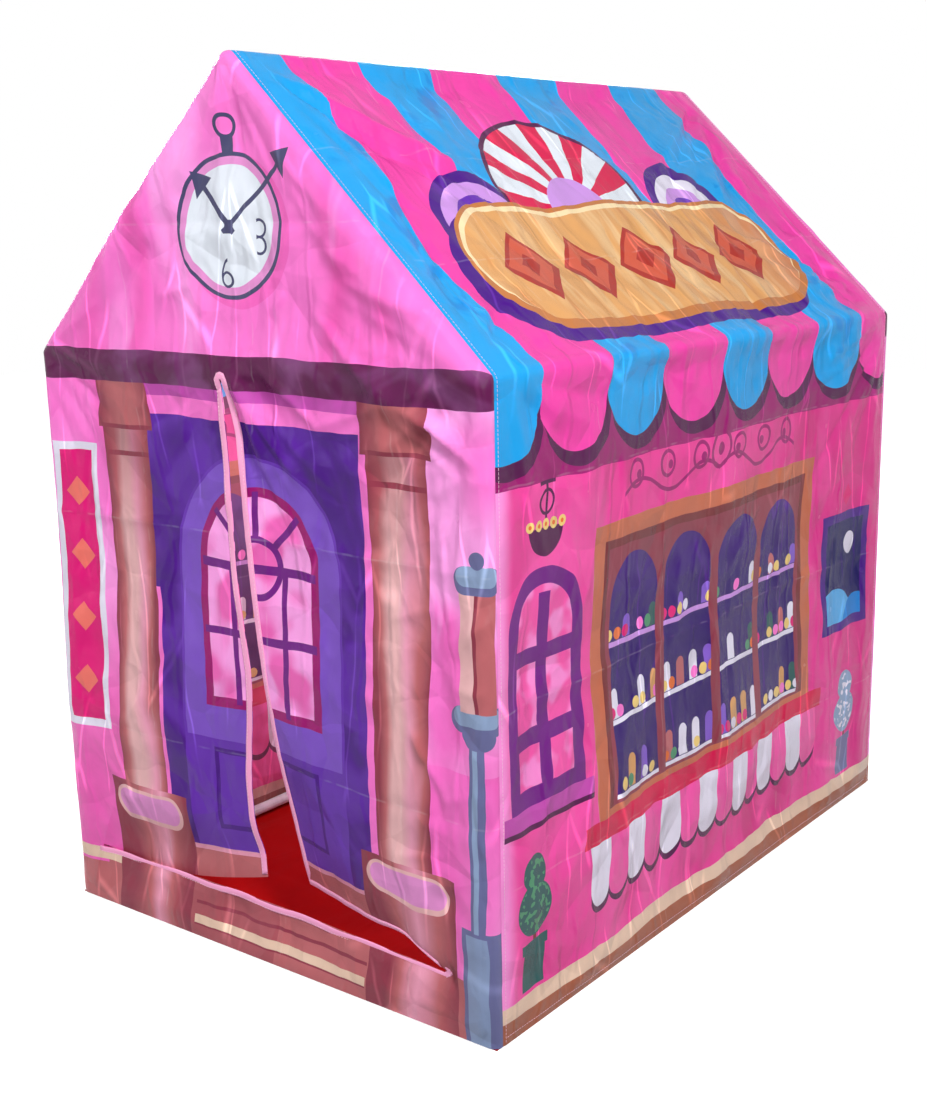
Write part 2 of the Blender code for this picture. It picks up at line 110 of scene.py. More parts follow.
class Ink(Enum):
    """The colours of the print, the tapes and the frame, as red, green and blue on screen."""

    PINK = (252, 124, 210)
    PINK_LIGHT = (255, 166, 234)
    PINK_DEEP = (240, 86, 176)
    WALL = (234, 70, 154)
    WALL_LIGHT = (245, 92, 172)
    WALL_DEEP = (208, 42, 126)
    AWNING_PINK = (238, 74, 168)
    BLUE = (44, 162, 232)
    BLUE_DEEP = (28, 130, 212)
    SHADE = (156, 34, 112)
    PLUM = (100, 42, 82)
    PLUM_LIGHT = (136, 78, 130)
    PLUM_DEEP = (88, 24, 80)
    LINTEL = (196, 84, 176)
    PURPLE_DEEP = (80, 34, 134)
    PURPLE = (106, 58, 174)
    PURPLE_LIGHT = (136, 96, 204)
    INDIGO = (60, 14, 108)
    VIOLET = (116, 44, 132)
    BROWN = (190, 107, 112)
    BROWN_DEEP = (146, 66, 82)
    BROWN_LIGHT = (234, 182, 184)
    ROSE = (236, 160, 186)
    ORCHID = (226, 146, 206)
    FRAME_BROWN = (198, 112, 86)
    FRAME_DEEP = (124, 58, 62)
    SKIRTING = (166, 98, 76)
    BEIGE = (232, 200, 178)
    TAN = (222, 164, 106)
    TAN_DEEP = (196, 124, 74)
    CREAM = (248, 222, 176)
    RED = (214, 40, 84)
    WHITE = (232, 226, 244)
    LILAC = (204, 150, 226)
    MAGENTA = (226, 42, 124)
    SALMON = (244, 122, 112)
    DIAL = (226, 232, 242)
    SLATE = (80, 80, 112)
    SLATE_LIGHT = (146, 166, 200)
    SLATE_MID = (112, 114, 158)
    TEAL = (58, 96, 96)
    LEAF = (84, 150, 112)
    YELLOW = (242, 208, 128)
    SKY = (96, 172, 232)
    NIGHT = (44, 16, 96)
    ORANGE = (232, 116, 60)
    RUST = (172, 62, 56)
    CORAL = (206, 96, 76)
    FLOOR = (164, 0, 10)
    BINDING = (252, 172, 212)
    THREAD = (255, 214, 232)
    TUBE = (208, 209, 213)
    CONNECTOR = (60, 104, 186)
    DULL = (172, 134, 148)
    STUDIO = (255, 255, 255)

    @property
    def linear(self) -> tuple[float, float, float, float]:
        """The colour as linear shares, for a shader."""
        shares = [part / 255 for part in self.value]
        return (*[s / 12.92 if s <= 0.04045 else ((s + 0.055) / 1.055) ** 2.4 for s in shares], 1.0)


# Shader nodes


class Nodes:
    """Adds nodes to one material and links them."""

    def __init__(self, tree: bpy.types.NodeTree) -> None:
        """Takes the material's node tree."""
        self.tree = tree

    def add(self, kind: str, **settings: object) -> Node:
        """Adds a node.

        Args:
            kind: The node's type, without its prefix.
            settings: Properties to set on it.

        Returns:
            The node.
        """
        node = self.tree.nodes.new(f"ShaderNode{kind}")
        for name, value in settings.items():
            setattr(node, name, value)
        return node

    def feed(self, socket: Socket, value: object) -> None:
        """Links a socket to another, or sets its value."""
        if isinstance(value, bpy.types.NodeSocket):
            self.tree.links.new(value, socket)
        else:
            socket.default_value = value

    def fed(self, node: Node, values: Sequence[object]) -> Node:
        """Feeds values to a node's first inputs, in order, and hands the node back."""
        for socket, value in zip(node.inputs, values):
            self.feed(socket, value)
        return node

    def named(self, node: Node, **values: object) -> Node:
        """Feeds values to a node's inputs by their names, and hands the node back."""
        for name, value in values.items():
            self.feed(node.inputs[name], value)
        return node

    def calc(self, operation: str, *values: Number, clamp: bool = False) -> Socket:
        """Works out a number with a Math node."""
        node = self.add("Math", operation=operation, use_clamp=clamp)
        return self.fed(node, values).outputs[0]

    def vector(self, operation: str, *values: object) -> Socket:
        """Works out a vector, or a length or distance, with a Vector Math node."""
        node = self.add("VectorMath", operation=operation)
        return self.fed(node, values).outputs["Value" if operation in ("DISTANCE", "LENGTH") else "Vector"]

    def scaled(self, value: Socket, factor: Number, offset: Number = 0.0) -> Socket:
        """A value times a factor, plus an offset."""
        return self.calc("MULTIPLY_ADD", value, factor, offset)

    def away(self, value: Socket, line: Number) -> Socket:
        """How far a value is from a line, to either side."""
        return self.calc("ABSOLUTE", self.calc("SUBTRACT", value, line))

    def drawn_up(self, place: Socket, share: float) -> Socket:
        """A place whose height counts for less, so that what is read there is drawn out upwards."""
        return self.vector("MULTIPLY", place, (1.0, share, 1.0))

    def cloud(self, place: Socket, scale: float, detail: float = 2.0, twist: float = 0.0) -> Socket:
        """Soft noise at a place, with so many features in a metre, from 0 to 1."""
        node = self.named(self.add("TexNoise"), Vector=place, Scale=scale, Detail=detail, Distortion=twist)
        return node.outputs["Fac"]

    def fade(self, value: Socket, start: float, end: float) -> Socket:
        """A smooth step from 0 at the start to 1 at the end."""
        node = self.add("MapRange", interpolation_type="SMOOTHSTEP")
        return self.fed(node, (value, start, end, 0.0, 1.0)).outputs[0]

    def mix(self, share: Number, first: object, second: object, blend: str = "MIX") -> Socket:
        """Mixes two colours.

        Args:
            share: How much of the second is taken.
            first: The first colour.
            second: The second colour.
            blend: The way they are mixed.

        Returns:
            The mixed colour.
        """
        node = self.add("Mix", data_type="RGBA", blend_type=blend)
        for socket, value in zip((node.inputs[0], node.inputs[6], node.inputs[7]), (share, first, second)):
            self.feed(socket, value)
        return node.outputs[2]

    def net(self, place: Socket, scale: float) -> Socket:
        """How far a place is from the nearest line of a net with so many meshes in a metre."""
        net = self.add("TexVoronoi", feature="DISTANCE_TO_EDGE")
        return self.named(net, Vector=place, Scale=scale).outputs["Distance"]

    def bent(self, place: Socket, scale: float, far: float) -> Socket:
        """A place moved about by soft noise of a scale, up to so far."""
        bend = self.named(self.add("TexNoise"), Vector=place, Scale=scale).outputs["Color"]
        centred = self.vector("SUBTRACT", bend, (0.5, 0.5, 0.5))
        return self.vector("ADD", place, self.vector("MULTIPLY", centred, (far, far, 0.0)))

    def split(self, place: Socket) -> tuple[Socket, Socket]:
        """The across and up parts of a place."""
        parts = self.fed(self.add("SeparateXYZ"), [place]).outputs
        return parts[0], parts[1]

    def ramp(self, value: Socket, stops: Sequence[tuple[float, Ink]], blend: str = "LINEAR") -> Socket:
        """Turns a value into colours.

        Args:
            value: The value, from 0 to 1.
            stops: The colours and the values that they stand at.
            blend: How the ramp passes from one to the next.

        Returns:
            The colour.
        """
        node = self.add("ValToRGB")
        node.color_ramp.interpolation = blend
        marks = node.color_ramp.elements
        for index, (place, ink) in enumerate(stops):
            mark = marks[index] if index < 2 else marks.new(place)
            mark.position = place
            mark.color = ink.linear
        return self.fed(node, [value]).outputs[0]

    def bump(self, shader: Node, height: Socket, strength: float, distance: float) -> None:
        """Raises a shader's surface by a height, which is counted in distances."""
        node = self.named(self.add("Bump"), Strength=strength, Distance=distance, Height=height)
        self.feed(shader.inputs["Normal"], node.outputs[0])


def start_material(name: str) -> tuple[Material, Nodes, Node]:
    """Starts a material.

    Args:
        name: Its name.

    Returns:
        The material, its nodes and its shader.
    """
    material = bpy.data.materials.new(name)
    material.use_nodes = True
    return material, Nodes(material.node_tree), material.node_tree.nodes["Principled BSDF"]


class Layout:
    """Flat coordinates on the cloth, in metres, and the shapes that are marked out on them."""

    def __init__(self, nodes: Nodes, across: Socket, up: Socket) -> None:
        """Takes the coordinates."""
        self.nodes = nodes
        self.across = across
        self.up = up
        self.point = nodes.fed(nodes.add("CombineXYZ"), (across, up)).outputs[0]

    def between(self, value: Socket, low: float, high: float) -> Socket:
        """Where a value lies between two others."""
        return self.nodes.calc("COMPARE", value, (low + high) / 2, (high - low) / 2)

    def band(self, low: float, high: float) -> Socket:
        """A band right across the cloth."""
        return self.between(self.up, low, high)

    def box(self, left: float, right: float, low: float, high: float) -> Socket:
        """A box between two sides and two heights."""
        return self.nodes.calc("MULTIPLY", self.between(self.across, left, right), self.band(low, high))

    def reach(self, across: float, up: float) -> Socket:
        """The distance from a point."""
        return self.nodes.vector("DISTANCE", self.point, (across, up, 0.0))

    def disc(self, across: float, up: float, radius: float) -> Socket:
        """A round spot."""
        return self.nodes.calc("LESS_THAN", self.reach(across, up), radius)

    def ring(self, across: float, up: float, radius: float, half: float) -> Socket:
        """A round line at a radius, of twice the half width."""
        return self.nodes.calc("COMPARE", self.reach(across, up), radius, half)

    def arch(self, left: float, right: float, low: float, high: float) -> Socket:
        """A box with a round head above its high side."""
        head = self.disc((left + right) / 2, high, (right - left) / 2)
        return self.nodes.calc("MAXIMUM", self.box(left, right, low, high), head)

    def pill(self, left: float, right: float, low: float, high: float) -> Socket:
        """A box with round ends to the left and right."""
        radius = (high - low) / 2
        inner = (right - left) / 2 - radius
        ends = self.mirrored((left + right) / 2).disc(inner, low + radius, radius)
        return self.nodes.calc("MAXIMUM", self.box(left + radius, right - radius, low, high), ends)

    def mirrored(self, across: float) -> "Layout":
        """Coordinates that are the same on both sides of a line, counted from it."""
        return Layout(self.nodes, self.nodes.away(self.across, across), self.up)

    def repeated(self, pitch: float, start: float) -> tuple["Layout", Socket]:
        """Coordinates that start again at each step across, counted from each step's middle.

        Args:
            pitch: The length of a step.
            start: Where a step begins.

        Returns:
            The coordinates, and the number of each step.
        """
        steps = self.nodes.calc("DIVIDE", self.nodes.calc("SUBTRACT", self.across, start), pitch)
        index = self.nodes.calc("FLOOR", steps)
        local = self.nodes.scaled(self.nodes.calc("FRACT", steps), pitch, -pitch / 2)
        return Layout(self.nodes, local, self.up), index

    def turned(self, across: float, up: float, degrees: float) -> "Layout":
        """Coordinates counted from a point and turned about it."""
        node = self.nodes.add("Mapping", vector_type="TEXTURE")
        self.nodes.fed(node, (self.point, (across, up, 0), (0, 0, math.radians(degrees))))
        return Layout(self.nodes, *self.nodes.split(node.outputs[0]))


class Print:
    """A printed picture, laid down shape by shape on the cloth's flat coordinates."""

    haze = 0.017

    def __init__(self, nodes: Nodes, wobble: float) -> None:
        """Starts a picture.

        Args:
            nodes: The material's nodes.
            wobble: How far the hand-drawn outlines stray, in metres.
        """
        self.nodes = nodes
        self.cloth = nodes.add("Attribute", attribute_name=FLAT).outputs["Vector"]
        self.page = Layout(nodes, *nodes.split(nodes.bent(self.cloth, 13.0, 2 * wobble)))
        self.colour: object = Ink.PINK.linear

    def lay(self, mask: Number, ink: Ink, strength: float = 1.0) -> None:
        """Prints an ink where a mask is."""
        if strength != 1.0:
            mask = self.nodes.calc("MULTIPLY", mask, strength)
        self.colour = self.nodes.mix(mask, self.colour, ink.linear)

    def both(self, first: Socket, second: Socket) -> Socket:
        """Where two masks meet."""
        return self.nodes.calc("MULTIPLY", first, second)

    def patches(self, scale: float, start: float, end: float, detail: float = 1.0,
                twist: float = 0.0) -> Socket:
        """A mask of soft patches: noise of a scale, faded in from a start to an end."""
        return self.nodes.fade(self.nodes.cloud(self.cloth, scale, detail, twist), start, end)

    def draw(self, shapes: Sequence[tuple], page: Layout | None = None, within: Socket | None = None) -> None:
        """Prints plain shapes in order.

        Args:
            shapes: For each, a Layout method, its sizes, its ink and, if it isn't full, its strength.
            page: The coordinates they are drawn on, if not the whole page's.
            within: A mask that they stay inside.
        """
        for shape, sizes, ink, *strength in shapes:
            mask = shape(page or self.page, *sizes)
            self.lay(self.both(mask, within) if within else mask, ink, *strength)

    def ground(self, main: Ink, light: Ink, deep: Ink) -> None:
        """Washes the whole cloth with a main colour, with deeper brush strokes, lighter strokes that are
        partly painted sheen, and thin streaks of painted sheen.
        """
        nodes = self.nodes
        stroke = nodes.cloud(nodes.drawn_up(self.cloth, 0.45), 5.0, 2.0, 0.8)
        # Lighter brush strokes, which also stand for painted sheen.
        self.colour = nodes.mix(nodes.fade(stroke, 0.50, 0.68), main.linear, light.linear)
        self.lay(nodes.fade(stroke, 0.47, 0.30), deep, 0.9)
        # Painted sheen: thin drawn-out streaks of the lighter colour.
        thin = nodes.cloud(nodes.drawn_up(self.cloth, 0.2), 24.0, 2.0, 0.6)
        self.lay(nodes.fade(thin, 0.56, 0.72), light, 0.45)

    def panel(self, area: Area, rim: float, edge: Ink, fill: Ink, page: Layout | None = None) -> None:
        """Prints a box with a rim.

        Args:
            area: Its left, right, low and high sides.
            rim: The rim's width.
            edge: The rim's colour.
            fill: The colour inside.
            page: The coordinates it is drawn on, if not the whole page's.
        """
        left, right, low, high = area
        inner = (left + rim, right - rim, low + rim, high - rim)
        self.draw(((Layout.box, area, edge), (Layout.box, inner, fill)), page)

    def rounded_form(self, area: Area, inks: Sequence[Ink]) -> None:
        """Prints an upright rounded form: soft bands of colour from its left to its right.

        Args:
            area: Its left, right, low and high sides.
            inks: The bands' colours.
        """
        left, right, low, high = area
        nodes = self.nodes
        streak = nodes.scaled(nodes.cloud(nodes.drawn_up(self.cloth, 0.3), 16.0, 1.0, 0.5), 0.50, -0.25)
        share = nodes.calc("DIVIDE", nodes.calc("SUBTRACT", self.page.across, left), right - left)
        stops = [(index / (len(inks) - 1), ink) for index, ink in enumerate(inks)]
        bands = nodes.ramp(nodes.calc("ADD", share, streak), stops)
        self.colour = nodes.mix(self.page.box(left, right, low, high), self.colour, bands)

    def wear_and_crease_highlights(self, upright: Sequence[float], level: Sequence[float]) -> None:
        """Pales the ink where the cloth was folded for packing, which is wear, and paints highlights on the
        thin creases that pull it up.

        Args:
            upright: The upright creases' places across.
            level: The level creases' heights.
        """
        if not upright:
            return
        nodes = self.nodes
        broken = self.patches(40.0, 0.42, 0.60, 2.0)
        for socket, lines in zip(nodes.split(self.cloth), (upright, level)):
            for line in lines:
                worn = nodes.fade(nodes.away(socket, line), 0.0018, 0.0003)
                self.lay(self.both(worn, broken), Ink.STUDIO, 0.07)
        # Painted highlight: the colour is lightened along thin drawn-out lines that stand for creases
        # catching the light.
        drawn = nodes.drawn_up(nodes.bent(self.cloth, 4.0, 0.05), 0.20)
        pulled = nodes.fade(nodes.net(drawn, 17.0), 0.034, 0.0)
        lit = nodes.vector("MULTIPLY_ADD", self.colour, (1.5,) * 3, (0.014,) * 3)
        self.colour = nodes.mix(self.both(pulled, self.patches(9.0, 0.46, 0.62)), self.colour, lit)

    def finished(self) -> Socket:
        """The whole picture with the brush's unevenness, and a dulling that the cloth's inside turns up."""
        nodes = self.nodes
        brushed = nodes.scaled(nodes.cloud(self.cloth, 26.0, 3.0, 0.8), 0.16, 0.92)
        shaded = nodes.mix(1.0, self.colour, brushed, "MULTIPLY")
        rich = nodes.vector("SUBTRACT", shaded, (self.haze,) * 3)
        dulled = nodes.mix(0.0, nodes.vector("MAXIMUM", rich, (0.004,) * 3), Ink.DULL.linear)
        dulled.node.name = DULLING
        return dulled


# Pictures


BOX, BAND, DISC, RING = Layout.box, Layout.band, Layout.disc, Layout.ring
ARCH, PILL = Layout.arch, Layout.pill


def draw_window(art: Print, area: Area, frame_ink: Ink, pane: Ink) -> None:
    """A window with a round head, a cross of bars and a sill.

    Args:
        art: The picture.
        area: The left, right and low sides, and the height where the head starts.
        frame_ink: The frame's colour.
        pane: The panes' colour.
    """
    left, right, low, high = area
    rim, bar, middle = 0.019, 0.0090, (left + right) / 2
    glass = (left + rim, right - rim, low + rim, high)
    upper, lower = high - 0.12 * (high - low), low + 0.40 * (high - low)
    art.draw(((ARCH, area, frame_ink), (ARCH, glass, pane)))
    art.draw(((ARCH, glass, Ink.PINK_LIGHT, 0.6),), within=art.patches(30.0, 0.46, 0.60))
    art.draw((
        (BOX, (middle - bar, middle + bar, low, high + 0.3 * (right - left)), frame_ink),
        (BOX, (left, right, upper - bar, upper + bar), frame_ink),
        (BOX, (left, right, lower - bar, lower + bar), frame_ink),
        (BOX, (left - 0.012, right + 0.012, low - 0.020, low), Ink.LINTEL),
        (BOX, (left - 0.012, right + 0.012, low - 0.025, low - 0.019), Ink.PLUM_DEEP),
    ))


def draw_clock(art: Print, across: float, up: float) -> None:
    """A plain round clock with a plain 3 and 6, two arrow hands and a ring to hang it by.

    Args:
        art: The picture.
        across: Its middle across.
        up: Its middle's height.
    """
    page, nodes = art.page, art.nodes
    art.draw((
        (DISC, (across + 0.009, up - 0.006, 0.080), Ink.PINK_DEEP, 0.45),
        (RING, (across, up + 0.102, 0.011, 0.0022), Ink.SLATE),
        (BOX, (across - 0.007, across + 0.007, up + 0.072, up + 0.092), Ink.SLATE),
        (DISC, (across, up, 0.077), Ink.SLATE),
        (DISC, (across, up, 0.0725), Ink.ORCHID),
        (DISC, (across, up, 0.064), Ink.DIAL),
    ))
    three = page.turned(across + 0.045, up - 0.012, 0.0)
    bows = tuple((RING, (-0.001, height, 0.0090, 0.0015), Ink.SLATE) for height in (0.0090, -0.0090))
    art.draw(bows, three, three.box(-0.005, 0.02, -0.02, 0.02))
    six = page.turned(across - 0.006, up - 0.053, 0.0)
    art.draw(((RING, (0.0, -0.002, 0.0080, 0.0015), Ink.SLATE),), six)
    art.draw(((RING, (0.0120, 0.001, 0.0200, 0.0015), Ink.SLATE),), six, six.box(-0.01, 0.004, -0.001, 0.023))
    for degrees, length, half in ((133.0, 0.080, 0.0032), (38.0, 0.124, 0.0026)):
        hand = page.turned(across, up, degrees)
        art.draw(((BOX, (-0.010, length - 0.02, -half, half), Ink.SLATE),), hand)
        slope = nodes.scaled(hand.across, -0.62, 0.62 * length)
        head = nodes.calc("LESS_THAN", nodes.calc("ABSOLUTE", hand.up), slope)
        art.lay(art.both(head, nodes.calc("GREATER_THAN", hand.across, length - 0.026)), Ink.SLATE)
    art.draw(((BOX, (across - 0.006, across + 0.006, up - 0.008, up + 0.006), Ink.SLATE),))


def draw_skirting(art: Print) -> None:
    """A brown board along the ground with a beige moulding on it."""
    art.draw(((BAND, (-0.05, SKIRTING_TOP), Ink.SKIRTING), (BAND, (SKIRTING_TOP, MOULDING_TOP), Ink.BEIGE)))


def draw_door(art: Print) -> None:
    """A purple door with a round-headed light, and pink bars and panels."""
    left, right, foot, top = -0.160, 0.180, 0.060, 0.634
    whole, glass = (left, right, foot, top), (-0.073, 0.087, 0.312, 0.472)
    art.draw((
        (BOX, (-0.175, 0.190, 0.640, 0.672), Ink.LINTEL), (BOX, (-0.175, 0.190, 0.634, 0.655), Ink.PINK),
        (BOX, whole, Ink.PURPLE_DEEP),
    ))
    art.draw(((BOX, whole, Ink.PURPLE, 0.7),), within=art.patches(9.0, 0.42, 0.60, 2.0, 1.0))
    art.draw((
        (ARCH, (-0.120, 0.134, foot, 0.472), Ink.PURPLE),
        (ARCH, (-0.116, 0.130, 0.260, 0.472), Ink.PURPLE_LIGHT, 0.7),
        (ARCH, (-0.084, 0.098, 0.300, 0.472), Ink.SHADE), (ARCH, glass, Ink.PINK_LIGHT),
        (BOX, (0.170, 0.181, foot, top), Ink.PINK), (BOX, (left, -0.152, foot, 0.430), Ink.PINK),
    ))
    art.draw(((ARCH, glass, Ink.PINK_DEEP, 0.8),), within=art.patches(16.0, 0.46, 0.60))
    halves = art.page.mirrored(0.007)
    art.draw((
        (BOX, (-0.1, 0.087, 0.466, 0.476), Ink.VIOLET), (BOX, (-0.1, 0.087, 0.387, 0.396), Ink.VIOLET),
        (BOX, (0.036, 0.044, 0.305, 0.472), Ink.VIOLET),
    ), halves)
    for degrees in (45.0, 90.0):
        art.draw(((BOX, (0.030, 0.086, -0.004, 0.004), Ink.VIOLET),), halves.turned(0.0, 0.472, degrees))
    art.draw(((RING, (0.007, 0.472, 0.033, 0.004), Ink.VIOLET),))
    art.panel((0.014, 0.084, 0.150, 0.250), 0.006, Ink.PURPLE_DEEP, Ink.PURPLE, halves)
    art.draw(((BOX, (left, right, foot, 0.120), Ink.BROWN), (BOX, (left, right, 0.117, 0.123), Ink.ROSE)))


def draw_column(art: Print, left: float, right: float) -> None:
    """A plain round column with a square head on a broad base."""
    shaft = (Ink.BROWN_DEEP, Ink.BROWN, Ink.BROWN_LIGHT, Ink.BROWN_LIGHT, Ink.ROSE, Ink.BROWN, Ink.BROWN_DEEP)
    head = (Ink.BROWN_DEEP, Ink.BROWN, Ink.BROWN, Ink.BROWN_DEEP)
    foot = (Ink.BROWN_DEEP, Ink.BROWN_DEEP, Ink.BROWN, Ink.ROSE, Ink.BROWN, Ink.BROWN_DEEP)
    art.rounded_form((left, right, 0.160, 0.672), shaft)
    shadow = art.nodes.fade(art.page.up, 0.46, 0.62)
    art.draw(((BOX, (left, right, 0.160, 0.672), Ink.BROWN_DEEP, 0.55),), within=shadow)
    art.rounded_form((left - 0.008, right + 0.008, 0.618, 0.672), head)
    art.draw(((BOX, (left - 0.008, right + 0.008, 0.614, 0.619), Ink.BROWN_DEEP),
              (BOX, (left, right, 0.582, 0.588), Ink.BROWN_DEEP)))
    art.rounded_form((left - 0.026, right + 0.030, -0.010, 0.178), foot)
    art.draw(((PILL, (left - 0.020, right + 0.020, 0.130, 0.172), Ink.BROWN_LIGHT),
              (PILL, (left - 0.015, right + 0.015, 0.136, 0.168), Ink.ORCHID)))


def draw_lamp_post(art: Print, middle: float) -> None:
    """A plain lamp on a slim post with a square foot."""
    art.draw((
        (BOX, (-0.022, 0.024, -0.010, 0.132), Ink.SLATE_MID),
        (BOX, (-0.016, 0.010, 0.0, 0.126), Ink.SLATE_LIGHT, 0.8),
        (BOX, (-0.008, 0.009, 0.130, 0.352), Ink.SLATE_MID),
        (BOX, (-0.004, 0.002, 0.130, 0.352), Ink.SLATE_LIGHT),
        (PILL, (-0.018, 0.020, 0.328, 0.356), Ink.SLATE_MID),
        (PILL, (-0.032, 0.034, 0.344, 0.372), Ink.SLATE_MID),
        (PILL, (-0.028, 0.026, 0.352, 0.372), Ink.SLATE_LIGHT),
        (BOX, (-0.019, 0.021, 0.366, 0.490), Ink.BROWN_LIGHT),
        (BOX, (0.003, 0.021, 0.366, 0.490), Ink.BROWN),
        (BOX, (-0.001, 0.003, 0.366, 0.490), Ink.BROWN_DEEP),
        (PILL, (-0.026, 0.028, 0.486, 0.514), Ink.SLATE_MID),
        (PILL, (-0.022, 0.024, 0.494, 0.514), Ink.SLATE_LIGHT),
        (DISC, (0.001, 0.520, 0.009), Ink.SLATE_MID),
    ), art.page.turned(middle, 0.0, 0.0))


def draw_front(art: Print) -> None:
    """The shop front: a gable with a clock, a beam, a door between columns, a bare board and a lamp, with a
    painted highlight in patches down its right part.
    """
    page = art.page
    art.ground(Ink.PINK, Ink.PINK_LIGHT, Ink.PINK_DEEP)
    # Painted highlight: lighter pink in patches down the right part of the wall.
    art.draw(((BOX, (0.25, 0.36, 0.30, 0.668), Ink.PINK_LIGHT, 0.9),), within=art.patches(9.0, 0.34, 0.56))
    low = art.nodes.fade(art.page.up, 0.46, 0.20)
    art.draw(((BOX, (-0.36, 0.20, 0.0, 0.50), Ink.PINK_DEEP, 0.75),
              (BOX, (0.20, 0.36, 0.0, 0.50), Ink.PINK_DEEP, 0.40)), within=low)
    draw_clock(art, -0.006, 0.842)
    draw_door(art)
    art.draw(((BOX, (-0.280, 0.300, -0.010, 0.070), Ink.BROWN),
              (BOX, (-0.150, 0.010, -0.010, 0.070), Ink.BROWN_DEEP, 0.45)))
    draw_column(art, -0.232, -0.158)
    draw_column(art, 0.180, 0.256)
    art.draw((
        (BOX, (-0.122, 0.152, 0.040, 0.044), Ink.BROWN_DEEP), (BOX, (-0.122, 0.152, 0.017, 0.027), Ink.BEIGE),
        (BOX, (-0.122, 0.152, 0.015, 0.017), Ink.BROWN_DEEP),
        (BOX, (-0.360, -0.258, -0.010, 0.052), Ink.BROWN),
        (BOX, (-0.360, -0.258, 0.056, 0.072), Ink.BEIGE),
        (BAND, BEAM, Ink.PLUM),
    ))
    art.draw(((BAND, BEAM, Ink.PLUM_LIGHT, 0.8),), within=art.patches(8.0, 0.45, 0.65, 3.0, 1.0))
    art.panel((-0.326, -0.252, 0.236, 0.592), 0.010, Ink.WHITE, Ink.MAGENTA)
    column, _ = Layout(art.nodes, page.up, page.across).repeated(0.078, 0.258)
    gem = column.turned(0.0, -0.289, 45.0)
    art.draw(((BOX, (-0.013, 0.013, -0.013, 0.013), Ink.SALMON),), gem, page.box(-0.31, -0.26, 0.26, 0.57))
    draw_lamp_post(art, 0.317)


def draw_goods(art: Print, shape: Callable[..., Socket], sizes: tuple[float, ...], pitch: float, salt: float,
               within: Socket, inks: Sequence[Ink]) -> None:
    """A row of plain things on a shelf, some places of it left free.

    Args:
        art: The picture.
        shape: The Layout method that draws one.
        sizes: Its sizes, counted from the middle of its place.
        pitch: The width of a place.
        salt: Picks which places are filled, and with which colours.
        within: Where they may be.
        inks: Their colours.
    """
    nodes = art.nodes
    cells, number = art.page.repeated(pitch, CASES_START)
    noise = nodes.add("TexWhiteNoise", noise_dimensions="1D")
    chance = nodes.named(noise, W=nodes.scaled(number, 1.37, salt)).outputs["Value"]
    paint = nodes.ramp(chance, [(step / len(inks), ink) for step, ink in enumerate(inks)], "CONSTANT")
    again = nodes.calc("FRACT", nodes.calc("MULTIPLY", chance, 7.3))
    mask = art.both(art.both(shape(cells, *sizes), nodes.calc("GREATER_THAN", again, 0.34)), within)
    art.colour = nodes.mix(mask, art.colour, paint)


def draw_shop_window(art: Print) -> None:
    """A wide window: a brown frame round arched cases with shelves of plain jars and balls."""
    page = art.page
    art.draw(((BOX, (-0.286, 0.268, 0.192, 0.522), Ink.FRAME_BROWN),
              (BOX, (-0.264, 0.246, 0.200, 0.502), Ink.FRAME_DEEP),
              (BOX, (CASES_START, 0.236, 0.200, 0.492), Ink.BROWN_DEEP)))
    cases, _ = page.repeated(0.1225, CASES_START)
    inside = art.both(cases.arch(-0.052, 0.052, 0.204, 0.428), page.box(CASES_START, 0.236, 0.192, 0.492))
    art.lay(inside, Ink.INDIGO)
    art.lay(art.both(inside, art.nodes.fade(page.up, 0.38, 0.50)), Ink.PURPLE_DEEP, 0.7)
    jar_inks = (Ink.TEAL, Ink.BROWN, Ink.WHITE, Ink.PURPLE_LIGHT, Ink.TAN)
    ball_inks = (Ink.ORANGE, Ink.PINK, Ink.YELLOW, Ink.MAGENTA, Ink.WHITE, Ink.LEAF)
    for row, (floor, tall) in enumerate(((0.210, 0.030), (0.297, 0.026), (0.384, 0.018))):
        draw_goods(art, ARCH, (-0.0085, 0.0085, floor, floor + tall), 0.030625, row * 7.1, inside, jar_inks)
        draw_goods(art, DISC, (0.0, floor + 0.0072, 0.0072), 0.0175, 3.3 + row * 4.7, inside, ball_inks)
        shelf = Ink.LILAC if row == 2 else Ink.WHITE
        art.draw(((BAND, (floor - 0.007, floor - 0.001), shelf),), within=inside)


def draw_scrolls(art: Print) -> None:
    """A line of plain scrolls over the wide window."""
    page, calc = art.page, art.nodes.calc
    halves = page.mirrored(-0.009)
    curls, number = halves.repeated(0.072, 0.0)
    wave = calc("SINE", calc("MULTIPLY", halves.across, 2 * math.pi / 0.144))
    line = calc("COMPARE", page.up, art.nodes.scaled(wave, 0.012, 0.549), 0.0024)
    rings = calc("MAXIMUM", curls.ring(0.010, 0.569, 0.015, 0.0022), curls.disc(0.004, 0.567, 0.0055))
    art.lay(art.both(calc("MAXIMUM", line, rings), calc("LESS_THAN", number, 3.0)), Ink.SHADE)
    art.draw(((RING, (-0.009, 0.572, 0.022, 0.0026), Ink.SHADE), (DISC, (-0.009, 0.572, 0.008), Ink.SHADE)))


def draw_valance(art: Print) -> None:
    """A red rail with striped tongues hanging from it."""
    page, calc = art.page, art.nodes.calc
    start, half = -0.302, 0.021
    inside = page.box(start, 0.286, 0.0, 0.400)
    tongues, _ = page.repeated(2 * half, start)
    pairs, _ = page.repeated(4 * half, start)
    drop = calc("MAXIMUM", tongues.box(-half, half, 0.112, 0.172), tongues.disc(0.0, 0.112, half))
    low = calc("MAXIMUM", tongues.box(-half, half, 0.104, 0.172), tongues.disc(0.0, 0.106, 0.0225))
    hanging = art.both(inside, drop)
    art.lay(art.both(inside, low), Ink.PLUM_DEEP)
    art.lay(hanging, Ink.WALL_LIGHT)
    art.lay(art.both(hanging, calc("LESS_THAN", pairs.across, 0.0)), Ink.WHITE)
    art.draw(((BOX, (-0.314, 0.298, 0.166, 0.192), Ink.RED),))


